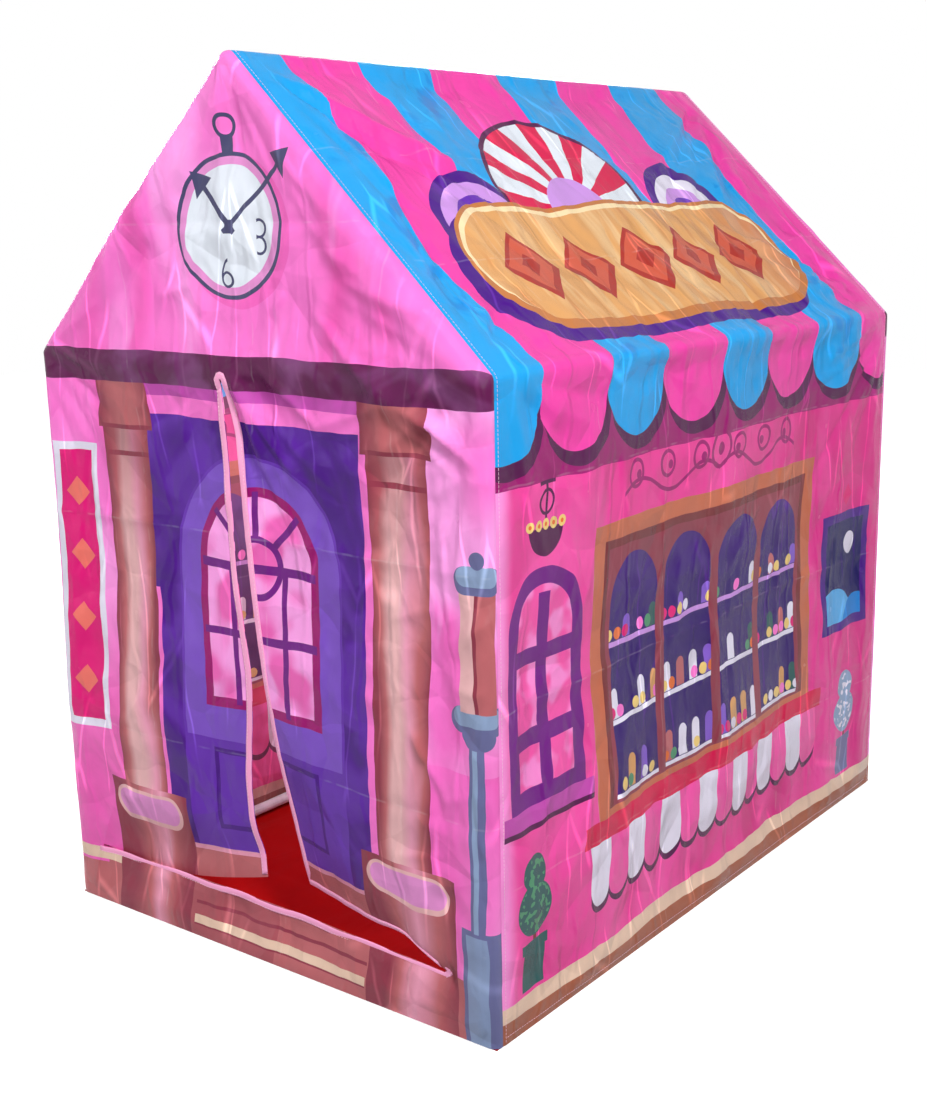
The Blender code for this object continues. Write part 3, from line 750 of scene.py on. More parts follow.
def draw_plant(art: Print, middle: float, pot: Ink, leaf: Ink, tip: Ink) -> None:
    """A small round bush in a pot."""
    art.draw((
        (BOX, (middle - 0.003, middle + 0.003, 0.080, 0.150), Ink.FRAME_DEEP),
        (BOX, (middle - 0.021, middle + 0.021, 0.046, 0.096), pot),
        (BOX, (middle - 0.025, middle + 0.025, 0.090, 0.102), pot),
        (DISC, (middle, 0.138, 0.030), leaf), (DISC, (middle, 0.178, 0.021), leaf),
    ))
    leaves = art.nodes.calc("GREATER_THAN", art.nodes.cloud(art.cloth, 110.0, 1.0), 0.56)
    art.draw(((DISC, (middle, 0.138, 0.028), tip), (DISC, (middle, 0.178, 0.019), tip)), within=leaves)


def draw_basket(art: Print, middle: float) -> None:
    """A hanging basket of flowers on a bracket."""
    page = art.page
    art.draw((
        (BOX, (middle - 0.002, middle + 0.002, 0.520, 0.590), Ink.PLUM_DEEP),
        (BOX, (middle - 0.014, middle + 0.014, 0.584, 0.591), Ink.PLUM_DEEP),
        (RING, (middle, 0.566, 0.012, 0.0017), Ink.PLUM_DEEP),
    ))
    art.draw(((DISC, (middle, 0.540, 0.030), Ink.PLUM_DEEP),), within=page.band(0.40, 0.540))
    flowers, _ = page.repeated(0.014, middle - 0.035)
    near = page.box(middle - 0.035, middle + 0.035, 0.50, 0.56)
    art.draw(((DISC, (0.0, 0.543, 0.0060), Ink.YELLOW), (DISC, (0.0, 0.543, 0.0024), Ink.ORANGE)),
             flowers, near)


def draw_picture(art: Print) -> None:
    """A small framed picture of a hill under the moon."""
    art.panel((0.302, 0.432, 0.262, 0.432), 0.013, Ink.PURPLE_DEEP, Ink.NIGHT)
    inner = art.page.box(0.315, 0.419, 0.275, 0.419)
    art.draw(((DISC, (0.340, 0.262, 0.062), Ink.SKY), (DISC, (0.410, 0.256, 0.050), Ink.BLUE_DEEP),
              (DISC, (0.384, 0.384, 0.016), Ink.WHITE)), within=inner)
    gem = art.page.turned(0.367, 0.456, 45.0)
    art.draw(((BOX, (-0.011, 0.011, -0.011, 0.011), Ink.MAGENTA),), gem)


def draw_awning(art: Print) -> None:
    """Blue and pink stripes down the roof that end in round tongues over the wall."""
    page, nodes, calc = art.page, art.nodes, art.nodes.calc
    pitch, start, tip, rise = 0.1262, -0.5133, 0.612, 0.058
    sway = calc("SINE", nodes.scaled(page.up, 19.0, calc("MULTIPLY", page.across, 6.0)))
    strayed = calc("MULTIPLY", sway, nodes.fade(page.up, 0.74, 0.84))
    swayed = Layout(nodes, nodes.scaled(strayed, 0.008, page.across), page.up)

    def tongues(shift: float, drop: float) -> Socket:
        """All that is above the tongues' edge."""
        share = calc("DIVIDE", swayed.repeated(pitch, start + shift)[0].across, pitch / 2)
        curve = calc("SQRT", calc("SUBTRACT", 1.0, calc("MULTIPLY", share, share), clamp=True))
        return calc("GREATER_THAN", page.up, nodes.scaled(curve, -rise, tip + rise - drop))

    blue = calc("LESS_THAN", swayed.repeated(2 * pitch, start)[0].across, 0.0)
    above = tongues(0.0, 0.0)
    art.draw(((BAND, (0.588, 0.700), Ink.SHADE),))
    art.lay(tongues(0.006, 0.016), Ink.PLUM_DEEP)
    art.lay(above, Ink.AWNING_PINK)
    art.lay(art.both(above, blue), Ink.BLUE)
    stroke = art.patches(12.0, 0.40, 0.30, 3.0, 1.5)
    art.lay(art.both(stroke, art.both(blue, calc("GREATER_THAN", page.up, 0.66))), Ink.BLUE_DEEP, 0.6)


def draw_roof_sign(art: Print) -> None:
    """A tan board with a row of plain diamonds on the roof, before three round rosettes."""
    page, nodes, calc = art.page, art.nodes, art.nodes.calc
    middle, high, board = -0.052, 0.930, (-0.337, 0.338, 0.760, 0.925)
    left_rings = ((0.092, Ink.PURPLE_DEEP), (0.078, Ink.LILAC), (0.058, Ink.PURPLE), (0.030, Ink.WHITE))
    right_rings = ((0.082, Ink.PURPLE_DEEP), (0.064, Ink.WHITE), (0.044, Ink.LILAC), (0.026, Ink.PURPLE))
    for across, up, rings in ((-0.258, 0.890, left_rings), (0.205, 0.922, right_rings),
                              (middle, high, ((0.146, Ink.PLUM_DEEP), (0.139, Ink.RED)))):
        art.draw([(DISC, (across, up, radius), ink) for radius, ink in rings])
    around = calc("ARCTAN2", calc("SUBTRACT", page.up, high), calc("ADD", page.across, -middle))
    slices = calc("LESS_THAN", calc("FLOORED_MODULO", around, math.radians(30)), math.radians(15))
    art.draw(((DISC, (middle, high, 0.139), Ink.DIAL),), within=slices)
    art.draw((
        (DISC, (middle, high, 0.050), Ink.LILAC), (PILL, (-0.372, 0.330, 0.728, 0.926), Ink.PURPLE_DEEP),
        (PILL, (-0.350, 0.350, 0.746, 0.938), Ink.TAN_DEEP), (PILL, (-0.342, 0.342, 0.762, 0.932), Ink.CREAM),
        (PILL, board, Ink.TAN),
    ))
    face = page.pill(*board)
    stretch = nodes.drawn_up(art.cloth, 0.12)
    pale, dark = nodes.cloud(stretch, 30.0, 2.0, 0.8), nodes.cloud(stretch, 52.0, 2.0, 0.6)
    art.lay(art.both(nodes.fade(pale, 0.48, 0.66), face), Ink.CREAM, 0.38)
    art.lay(art.both(nodes.fade(dark, 0.54, 0.70), face), Ink.TAN_DEEP, 0.55)
    art.lay(art.both(nodes.fade(page.across, 0.16, 0.36), face), Ink.FRAME_BROWN, 0.7)
    row, _ = page.repeated(0.118, -0.302)
    gem, within = row.turned(0.0, 0.842, 45.0), page.box(-0.302, 0.288, 0.76, 0.925)
    art.draw([(BOX, (low, high, low, high), ink) for low, high, ink in (
        (-0.037, 0.037, Ink.RUST), (-0.027, 0.031, Ink.CORAL), (-0.010, 0.014, Ink.RUST))], gem, within)


def draw_side(art: Print) -> None:
    """A side wall and its half of the roof, with a painted highlight along its front edge and painted shade
    towards its back.
    """
    art.ground(Ink.WALL, Ink.WALL_LIGHT, Ink.WALL_DEEP)
    # Painted highlight: a lighter strip along the front edge.
    art.lay(art.nodes.fade(art.page.across, -0.436, -0.460), Ink.PINK_LIGHT, 0.75)
    # Painted shade: darker towards the back.
    art.lay(art.nodes.fade(art.page.across, 0.24, 0.42), Ink.WALL_DEEP, 0.45)
    draw_scrolls(art)
    draw_window(art, (-0.446, -0.307, 0.250, 0.430), Ink.VIOLET, Ink.WALL_LIGHT)
    draw_basket(art, -0.378)
    draw_shop_window(art)
    draw_valance(art)
    draw_picture(art)
    draw_plant(art, -0.408, Ink.TEAL, Ink.TEAL, Ink.LEAF)
    draw_plant(art, 0.372, Ink.SLATE_MID, Ink.SLATE_LIGHT, Ink.WHITE)
    draw_skirting(art)
    draw_awning(art)
    draw_roof_sign(art)


def draw_back(art: Print) -> None:
    """The back: the same beam and skirting, with a large plain window and a round one above it."""
    art.ground(Ink.PINK, Ink.PINK_LIGHT, Ink.PINK_DEEP)
    draw_window(art, (-0.120, 0.120, 0.240, 0.470), Ink.VIOLET, Ink.WALL_LIGHT)
    draw_skirting(art)
    art.draw((
        (BAND, BEAM, Ink.PLUM),
        (DISC, (0.0, 0.842, 0.076), Ink.SLATE),
        (DISC, (0.0, 0.842, 0.066), Ink.DIAL),
        (BOX, (-0.070, 0.070, 0.838, 0.846), Ink.SLATE),
        (BOX, (-0.004, 0.004, 0.772, 0.912), Ink.SLATE),
    ))


def draw_floor(art: Print) -> None:
    """The plain red floor."""
    art.colour = Ink.FLOOR.linear


def draw_tape(art: Print) -> None:
    """The plain pink tape."""
    art.colour = Ink.BINDING.linear


# Finishes


@dataclass(frozen=True)
class ClothFinish:
    """A thin woven polyester with a print, fine crinkles and a slight gloss."""

    name: str
    draw: Callable[[Print], None]
    upright_creases: tuple[float, ...] = ()
    level_creases: tuple[float, ...] = ()
    roughness: float = 0.23
    gloss: float = 0.34
    wobble: float = 0.004
    thread: float = 0.0007
    crinkle: float = 0.0032
    inside_dulling: float = 0.30

    def height(self, nodes: Nodes, cloth: Socket, weave: Socket) -> Socket:
        """The cloth's fine relief: flat facets between straight creases, small ridges and the weave."""
        bent = nodes.bent(cloth, 9.0, 0.05)
        drawn = nodes.drawn_up(bent, 0.45)
        large, small = nodes.net(bent, 8.5), nodes.net(drawn, 21.0)
        pulled = nodes.fade(nodes.net(nodes.drawn_up(bent, 0.20), 15.0), 0.0, 0.075)
        ridge = nodes.away(nodes.cloud(drawn, 30.0, 2.0, 0.6), 0.5)
        patch = nodes.fade(nodes.cloud(cloth, 6.0, 1.0), 0.36, 0.60)
        low = nodes.scaled(small, 1.5, nodes.calc("MULTIPLY", ridge, -0.9))
        low = nodes.scaled(nodes.fade(small, 0.0, 0.12), -0.22, low)
        low = nodes.scaled(pulled, -0.42, low)
        low = nodes.calc("MULTIPLY", low, nodes.scaled(patch, 0.65, 0.35))
        return nodes.scaled(weave, 0.015, nodes.scaled(large, 4.6, low))

    def make(self) -> Material:
        """Builds the material.

        Returns:
            The material.
        """
        material, nodes, shader = start_material(self.name)
        art = Print(nodes, self.wobble)
        self.draw(art)
        art.wear_and_crease_highlights(self.upright_creases, self.level_creases)
        colour = art.finished()
        threads = [nodes.calc("SINE", nodes.calc("MULTIPLY", part, 2 * math.pi / self.thread))
                   for part in nodes.split(art.cloth)]
        weave = nodes.calc("MULTIPLY", *threads)
        nodes.bump(shader, self.height(nodes, art.cloth, weave), 1.0, self.crinkle)
        nodes.named(shader, **{
            "Base Color": nodes.mix(1.0, colour, nodes.scaled(weave, 0.03, 0.99), "MULTIPLY"),
            "Roughness": nodes.scaled(nodes.cloud(art.cloth, 22.0, 2.0), 0.20, self.roughness - 0.10),
            "Specular IOR Level": self.gloss,
            "IOR": 1.25,
        })
        return material

    def make_pair(self) -> list[Material]:
        """Builds the outside's material and the duller one of the inside."""
        outside = self.make()
        inside = outside.copy()
        inside.name = f"{self.name}_inside"
        inside.node_tree.nodes[DULLING].inputs[0].default_value = self.inside_dulling
        return [outside, inside]


@dataclass(frozen=True)
class PlasticFinish:
    """A moulded or extruded plastic with a fine grain and faint scuffs."""

    name: str
    ink: Ink
    roughness: float
    grain: float
    stretch: tuple[float, float, float] = (1.0, 1.0, 1.0)

    def make(self) -> Material:
        """Builds the material.

        Returns:
            The material.
        """
        material, nodes, shader = start_material(self.name)
        place = nodes.vector("MULTIPLY", nodes.add("TexCoord").outputs["Object"], self.stretch)
        scuff = nodes.cloud(place, 60.0, 4.0)
        base = self.ink.linear
        deep = (*[0.86 * part for part in base[:3]], 1.0)
        nodes.bump(shader, nodes.cloud(place, 900.0, 2.0), 0.5, self.grain)
        nodes.named(shader, **{
            "Base Color": nodes.mix(nodes.fade(scuff, 0.40, 0.62), deep, base),
            "Roughness": nodes.scaled(scuff, 0.2, self.roughness - 0.1),
        })
        return material


# Cloth relief


def swell(across: np.ndarray, up: np.ndarray, seed: int) -> np.ndarray:
    """Smooth waves between -1 and 1, about one for each unit of length.

    Args:
        across: Places across.
        up: Their heights.
        seed: Picks the pattern.

    Returns:
        The waves' height at each place.
    """
    turns = np.random.default_rng(seed).uniform(0, 2 * math.pi, (61, 53))
    column, row = np.floor(across).astype(int), np.floor(up).astype(int)
    side, climb = across - column, up - row

    def pull(right: int, above: int) -> np.ndarray:
        """The slope that one lattice corner gives to a place."""
        turn = turns[(row + above) % 61, (column + right) % 53]
        return np.cos(turn) * (side - right) + np.sin(turn) * (climb - above)

    ease_side, ease_climb = (t * t * t * (t * (t * 6 - 15) + 10) for t in (side, climb))
    low = pull(0, 0) * (1 - ease_side) + pull(1, 0) * ease_side
    high = pull(0, 1) * (1 - ease_side) + pull(1, 1) * ease_side
    return 1.5 * (low * (1 - ease_climb) + high * ease_climb)


@dataclass(frozen=True)
class Pleat:
    """A straight fold in the cloth, sharp along its crest and fading at its ends."""

    across: float
    up: float
    degrees: float
    length: float
    width: float
    height: float
    crest: float = 0.0015

    def rise(self, across: np.ndarray, up: np.ndarray) -> np.ndarray:
        """How far the fold lifts the cloth at each place."""
        turn = math.radians(self.degrees)
        side, climb = across - self.across, up - self.up
        share = np.clip((side * math.cos(turn) + climb * math.sin(turn)) / self.length, 0, 1)
        off = climb * math.cos(turn) - side * math.sin(turn)
        crest = np.exp(-(np.hypot(off, self.crest) - self.crest) / self.width)
        return self.height * crest * np.sin(math.pi * share) ** 0.7

    def window(self, columns: np.ndarray, rows: np.ndarray) -> tuple[slice, slice]:
        """The rows and columns of a grid that the fold can reach."""
        turn, margin, spans = math.radians(self.degrees), 5 * self.width, []
        for places, start, part in ((rows, self.up, math.sin(turn)), (columns, self.across, math.cos(turn))):
            low, high = sorted((start, start + self.length * part))
            first, last = np.searchsorted(places, (low - margin, high + margin))
            spans.append(slice(int(first), int(last)))
        return spans[0], spans[1]


@dataclass(frozen=True)
class Fan:
    """Tension folds that run out from a point, such as the corner of an eave."""

    seed: int
    count: int
    across: float
    up: float
    degrees: Span
    length: Span
    height: Span
    start: Span = (0.0, 0.03)
    width: Span = (0.0060, 0.0095)

    def pleats(self) -> list[Pleat]:
        """The folds, evenly fanned with a little chance."""
        chance = random.Random(self.seed)
        first, last = self.degrees
        folds = []
        for index in range(self.count):
            degrees = first + (last - first) * (index + chance.uniform(0.1, 0.9)) / self.count
            turn, start = math.radians(degrees), chance.uniform(*self.start)
            folds.append(Pleat(
                self.across + start * math.cos(turn), self.up + start * math.sin(turn), degrees,
                chance.uniform(*self.length), chance.uniform(*self.width),
                chance.uniform(*self.height) * chance.choice((-1, 1, 1))))
        return folds


@dataclass(frozen=True)
class Scatter:
    """A patch of short creases that lie roughly one way."""

    seed: int
    count: int
    area: Area
    degrees: float
    spread: float
    length: Span = (0.03, 0.11)
    height: Span = (0.0009, 0.0026)
    width: Span = (0.005, 0.009)

    def pleats(self) -> list[Pleat]:
        """The creases, two out of three of them standing outwards."""
        chance = random.Random(self.seed)
        left, right, low, high = self.area
        return [Pleat(
            chance.uniform(left, right), chance.uniform(low, high), chance.gauss(self.degrees, self.spread),
            chance.uniform(*self.length), chance.uniform(*self.width),
            chance.uniform(*self.height) * chance.choice((-1, 1, 1))) for _ in range(self.count)]


@dataclass
class Relief:
    """How far a cloth stands off its taut shape: crumples, packing creases and folds."""

    seed: int
    crumple: float
    upright_creases: tuple[float, ...] = ()
    level_creases: tuple[float, ...] = ()
    folds: tuple[Pleat | Fan | Scatter, ...] = ()
    crease: float = 0.0022
    crease_width: float = 0.006
    tilt: float = 0.0055
    fold_strength: float = 1.7
    spacing: float = 0.0025
    left: float = -0.56
    low: float = -0.04
    table: list[list[float]] = field(init=False, repr=False)

    def __post_init__(self) -> None:
        """Works the relief out once on a fine grid."""
        columns = np.arange(self.left, -self.left, self.spacing)
        rows = np.arange(self.low, 1.22, self.spacing)
        across, up = np.meshgrid(columns, rows)
        total = np.zeros_like(across)
        for lines, places in ((self.upright_creases, across), (self.level_creases, up)):
            turns = [self.tilt * (-1) ** index for index in range(len(lines))]
            total += np.interp(places, [lines[0] - 0.2, *lines, lines[-1] + 0.2], [0.0, *turns, 0.0])
            for index, line in enumerate(lines):
                off = np.hypot(places - line, 0.0015) - 0.0015
                total += self.crease * (1 if index % 2 else -0.8) * np.exp(-off / self.crease_width)
        for fold in self.folds:
            for pleat in [fold] if isinstance(fold, Pleat) else fold.pleats():
                window = pleat.window(columns, rows)
                total[window] += self.fold_strength * pleat.rise(across[window], up[window])
        self.table = (total + self.crumpled(across, up)).tolist()

    def crumpled(self, across: np.ndarray, up: np.ndarray) -> np.ndarray:
        """Sharp-crested crumples at four sizes, stronger in patches, about zero."""
        seed = 100 * self.seed
        side = across + 0.025 * swell(across * 4.3, up * 4.3, seed + 1)
        climb = up + 0.025 * swell(across * 4.3, up * 4.3, seed + 2)
        patch = 0.75 + 0.6 * swell(across * 3.2, up * 3.2, seed + 3)
        total = 0.9 * swell(across * 2.2, up * 2.2, seed + 4)
        for index, (waves, share) in enumerate(((6.0, 1.0), (13.0, 0.80), (27.0, 0.40), (50.0, 0.14))):
            folded = np.abs(swell(side * waves, climb * waves * 0.62, seed + 5 + index))
            total += share * patch * (0.5 - 1.6 * folded)
        return self.crumple * total

    def rise(self, across: float, up: float) -> float:
        """The whole relief at a place on the flat cloth.

        Args:
            across: The place across.
            up: The place's height.

        Returns:
            Metres off the taut shape, outwards.
        """
        column, side = divmod((across - self.left) / self.spacing, 1)
        row, climb = divmod((up - self.low) / self.spacing, 1)
        near, far = self.table[int(row)], self.table[int(row) + 1]
        place = int(column)
        low = near[place] * (1 - side) + near[place + 1] * side
        high = far[place] * (1 - side) + far[place + 1] * side
        return low * (1 - climb) + high * climb


def bell(distance: float, width: float) -> float:
    """A smooth bump, 1 where there is no distance and almost gone at twice its width."""
    return math.exp(-((distance / width) ** 2))


def smooth_step(value: float, start: float, end: float) -> float:
    """A smooth rise from 0 at the start to 1 at the end."""
    share = min(1.0, max(0.0, (value - start) / (end - start)))
    return share * share * (3 - 2 * share)


def flat_grid(columns: Sequence[float], rows: Sequence[float]) -> Mesh:
    """A flat mesh with its lines at given places.

    Args:
        columns: The places across.
        rows: The heights.

    Returns:
        The mesh, with each corner at its place across and height.
    """
    cloth = bmesh.new()
    bmesh.ops.create_grid(cloth, x_segments=len(columns) - 1, y_segments=len(rows) - 1, size=1)
    for vert in cloth.verts:
        column = round((vert.co.x + 1) / 2 * (len(columns) - 1))
        row = round((vert.co.y + 1) / 2 * (len(rows) - 1))
        vert.co = (columns[column], rows[row], 0)
    return cloth


def steps(start: float, end: float, spacing: float) -> list[float]:
    """Evenly spaced values from the start up to but not at the end."""
    count = max(1, math.ceil((end - start) / spacing))
    return [start + (end - start) * index / count for index in range(count)]


def all_steps(start: float, end: float, spacing: float) -> list[float]:
    """Evenly spaced values from the start to the end, both of them included."""
    return steps(start, end, spacing) + [end]


def carry(cloth: Mesh, shape: Shape, outward: Vector, layout: Shape | None = None) -> None:
    """Moves a flat mesh onto its shape, keeps its flat coordinates and turns its outside outwards.

    Args:
        cloth: The mesh, flat.
        shape: Gives the point for a place across and up.
        outward: Roughly where most of its faces are to point.
        layout: Gives the print's flat coordinates for a place, if they aren't the place itself.
    """
    layer = cloth.verts.layers.float_vector.new(FLAT)
    for vert in cloth.verts:
        across, up = vert.co.x, vert.co.y
        vert[layer] = layout(across, up) if layout else Vector((across, up, 0))
        vert.co = shape(across, up)
    cloth.normal_update()
    if sum((face.normal * face.calc_area() for face in cloth.faces), Vector()).dot(outward) < 0:
        bmesh.ops.reverse_faces(cloth, faces=cloth.faces)


def make_piece(name: str, mesh_data: Mesh, materials: Sequence[Material], thickness: float = 0.0) -> Piece:
    """Makes an object of a mesh.

    Args:
        name: Its name.
        mesh_data: The mesh, which is freed.
        materials: Its materials: the outside's, then the inside's.
        thickness: How thick the cloth is, inwards from the mesh.

    Returns:
        The object.
    """
    mesh = bpy.data.meshes.new(name)
    mesh_data.to_mesh(mesh)
    mesh_data.free()
    mesh.shade_smooth()
    for material in materials:
        mesh.materials.append(material)
    thing = bpy.data.objects.new(name, mesh)
    bpy.context.scene.collection.objects.link(thing)
    if thickness:
        layer = thing.modifiers.new("thickness", "SOLIDIFY")
        layer.thickness = thickness
        layer.offset = -1
        layer.material_offset = len(materials) - 1
        layer.material_offset_rim = 0
        thick = thing.evaluated_get(bpy.context.evaluated_depsgraph_get())
        thing.data = bpy.data.meshes.new_from_object(thick)
        thing.modifiers.clear()
        thing.data.set_sharp_from_angle(angle=math.radians(55))
    log.info("%s: %d faces", name, len(thing.data.polygons))
    return thing


def make_sheet(name: str, cloth: Mesh, shape: Shape, outward: Sequence[float], materials: Sequence[Material],
               layout: Shape | None = None, thickness: float = CLOTH_THICKNESS) -> Piece:
    """Carries a flat mesh onto its shape, as carry does, and makes a sheet of cloth of it."""
    carry(cloth, shape, Vector(outward), layout)
    return make_piece(name, cloth, materials, thickness)


# The tent's shape


@dataclass
class TentShape:
    """The taut outline of the cover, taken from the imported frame."""

    half_width: float
    half_depth: float
    bar_across: float
    bar_along: float
    eave: float
    ridge: float
    hem: float = 0.0013

    @classmethod
    def from_frame(cls) -> "TentShape":
        """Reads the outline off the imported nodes' boxes."""
        eave_low, eave_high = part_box("eave_tube_right_front")
        ridge_low, ridge_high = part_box("ridge_tube_front")
        post_low, post_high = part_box("post_front_right_lower")
        return cls(
            half_width=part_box("side_wall_right")[1].x,
            half_depth=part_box("back_panel")[1].y,
            bar_across=(eave_low.x + eave_high.x) / 2,
            bar_along=-(post_low.y + post_high.y) / 2,
            eave=(eave_low.z + eave_high.z) / 2,
            ridge=(ridge_low.z + ridge_high.z) / 2,
        )

    @property
    def corner(self) -> float:
        """The radius that the cloth bends at over the frame."""
        return self.half_width - self.bar_across

    @property
    def lean(self) -> float:
        """How far the roof's outward direction is turned up from level."""
        return math.atan2(self.bar_across, self.ridge - self.eave)

    @property
    def slope_length(self) -> float:
        """The straight length of a roof slope."""
        return math.hypot(self.bar_across, self.ridge - self.eave)

    @property
    def side_length(self) -> float:
        """The length of a side, from its hem over the eave to the ridge."""
        return self.eave + self.corner * math.pi / 2 + self.slope_length

    @property
    def rim_length(self) -> float:
        """How far an end panel's rim reaches round the corner."""
        return self.corner * math.pi / 2


def side_point(tent: TentShape, side: int, along: float, up: float, rise: float) -> Vector:
    """A point on a side of the cover.

    Args:
        tent: The tent's shape.
        side: 1 for the right side and -1 for the left.
        along: The place from front to back.
        up: The length of cloth from the ground.
        rise: How far it stands out.

    Returns:
        The point.
    """
    corner, lean = tent.corner, tent.lean
    if up <= tent.eave:
        across, height, turn = tent.bar_across, up, 0.0
    elif up <= tent.eave + corner * lean:
        across, height, turn = tent.bar_across, tent.eave, (up - tent.eave) / corner
    else:
        on_slope = up - tent.eave - corner * lean
        share = min(1.0, on_slope / tent.slope_length)
        across = tent.bar_across * (1 - share)
        height = tent.eave + (tent.ridge - tent.eave) * share
        turn = lean + max(0.0, on_slope - tent.slope_length) / corner
    reach = corner + rise
    return Vector((side * (across + reach * math.cos(turn)), along, height + reach * math.sin(turn)))


def end_point(tent: TentShape, end: int, across: float, up: float, rise: float) -> Vector:
    """A point on an end panel, whose rim goes round the corner of the frame.

    Args:
        tent: The tent's shape.
        end: 1 for the back and -1 for the front.
        across: The flat place across.
        up: The flat height.
        rise: How far it stands out.

    Returns:
        The point.
    """
    side = -1 if across < 0 else 1
    place = Vector((abs(across), up))
    eave, ridge = Vector((tent.bar_across, tent.eave)), Vector((0, tent.ridge))
    slope = ridge - eave
    share = min(1.0, max(0.0, (place - eave).dot(slope) / slope.length_squared))
    outside = slope.cross(place - eave) < 0
    nearest = eave + slope * share
    if place.x > tent.bar_across and up <= tent.eave:
        nearest, outside = Vector((tent.bar_across, up)), True
    elif up <= tent.eave:
        outside = False
    if not outside:
        return Vector((across, end * (tent.half_depth + rise), up))
    away = place - nearest
    turn = min(math.pi / 2, away.length / tent.corner)
    reach = tent.corner + rise
    flat = nearest + away.normalized() * reach * math.sin(turn)
    return Vector((side * flat.x, end * (tent.bar_along + reach * math.cos(turn)), flat.y))


def end_sheet(tent: TentShape, spacing: float) -> Mesh:
    """A flat end panel with its rim, cut to its outline.

    Args:
        tent: The tent's shape.
        spacing: The distance between its lines.

    Returns:
        The mesh, flat.
    """
    rim = tent.rim_length
    wide, tall = tent.bar_across + rim, tent.ridge + rim
    cloth = flat_grid(all_steps(-wide, wide, spacing), all_steps(tent.hem, tall, spacing))
    eave, ridge = Vector((tent.bar_across, tent.eave, 0)), Vector((0, tent.ridge, 0))
    for share in (0.0, 0.25, 0.5, 0.75, 0.90, 1.0):
        for side in (-1, 1):
            cuts = [(eave, 0.0), (ridge, tent.lean)]
            if share == 1.0:
                cuts += [(eave, tent.lean * step / 4) for step in (1, 2, 3)]
                cuts += [(ridge, tent.lean + (math.pi / 2 - tent.lean) * step / 4) for step in (1, 2, 3, 4)]
            for middle, turn in cuts:
                out = Vector((math.cos(turn), math.sin(turn), 0))
                start = middle + out * rim * share
                flip = Matrix.Scale(side, 4, Vector((1, 0, 0)))
                bmesh.ops.bisect_plane(
                    cloth, geom=cloth.verts[:] + cloth.edges[:] + cloth.faces[:], plane_co=flip @ start,
                    plane_no=flip @ out, clear_outer=share == 1.0, dist=0.0002)
    return cloth


# Doorway


class Curve:
    """A smooth curve through a table of places and values."""

    def __init__(self, points: Sequence[tuple[float, float]]) -> None:
        """Takes the table, in order."""
        self.points = [Vector(point) for point in points]

    def at(self, place: float) -> float:
        """The value at a place.

        Args:
            place: Where it is read.

        Returns:
            The smooth value.
        """
        points, last = self.points, len(self.points) - 1
        index = max(k for k in range(last) if k == 0 or points[k].x <= place)
        start, end = points[index], points[index + 1]
        before, after = points[max(index - 1, 0)], points[min(index + 2, last)]
        step = end.x - start.x
        slopes = [(high.y - low.y) / (high.x - low.x) * step for low, high in ((before, end), (start, after))]
        t = (place - start.x) / step
        rise = t * t * (3 - 2 * t)
        return start.y + (end.y - start.y) * rise + slopes[0] * t * (1 - t) ** 2 - slopes[1] * t * t * (1 - t)


@dataclass
class Doorway:
    """The slit and its sill: three corners on the front panel, across and up."""

    peak: Vector
    sill_left: Vector
    sill_right: Vector

    @property
    def width(self) -> float:
        """The sill's length across."""
        return self.sill_right.x - self.sill_left.x

    @property
    def height(self) -> float:
        """The height from the sill's middle to the peak."""
        return self.peak.y - (self.sill_left.y + self.sill_right.y) / 2

    def sill_at(self, across: float) -> float:
        """The height of the line through the sill at a place across."""
        share = (across - self.sill_left.x) / self.width
        return self.sill_left.y + (self.sill_right.y - self.sill_left.y) * share

    def place(self, drop: float, side: float) -> Vector:
        """A place given as shares of the height down and the width across from the peak."""
        return Vector((self.peak.x + side * self.width, self.peak.y - drop * self.height))


def kept_off(rise: float, gap: float, outmost: float = 0.0160) -> float:
    """A rise held under a limit, with room for a tube whose middle is a gap away along the cloth."""
    if rise > 0:
        return outmost * math.tanh(rise / outmost)
    return max(rise, -0.0022 - 0.6 * max(0.0, gap - 0.010))


@dataclass
class EndShape:
    """How an end's cloth hangs: its taut outline, the line of the doorway's sill and its folds."""

    tent: TentShape
    doorway: Doorway
    relief: Relief
    sag: float = 0.0075
    sill_sag: float = 0.006
    sill_height: float = 0.07

    def rise(self, across: float, up: float) -> float:
        """How far the cloth stands out at a place, fading towards its seams.

        Args:
            across: The place across.
            up: The place's height.

        Returns:
            Metres outwards.
        """
        tent = self.tent
        slope = (tent.ridge - up) * math.sin(tent.lean) - abs(across) * math.cos(tent.lean)
        edge = min(tent.bar_across - abs(across), slope)
        fade = smooth_step(edge, -tent.rim_length, 0.012)
        sag = -self.sag * smooth_step(edge, 0.004, 0.06) * (1 - bell(up - tent.eave, 0.03))
        groove = -GROOVE_DEPTH * bell(edge + tent.rim_length, GROOVE_WIDTH)
        along = (across - self.doorway.sill_left.x) / self.doorway.width
        sill = 0.0
        if 0 < along < 1:
            sill = -self.sill_sag * math.sin(math.pi * along) * bell(up - self.sill_height, 0.03)
        low = smooth_step(up, 0.0, 0.03)
        if -0.03 < along < 1.03:
            low *= 1 - 0.85 * bell(up - self.doorway.sill_at(across), 0.012)
        total = self.relief.rise(across, up) * fade * low + sag * smooth_step(up, 0.0, 0.05) + sill + groove
        return kept_off(total, min(edge, up, abs(up - tent.eave)))


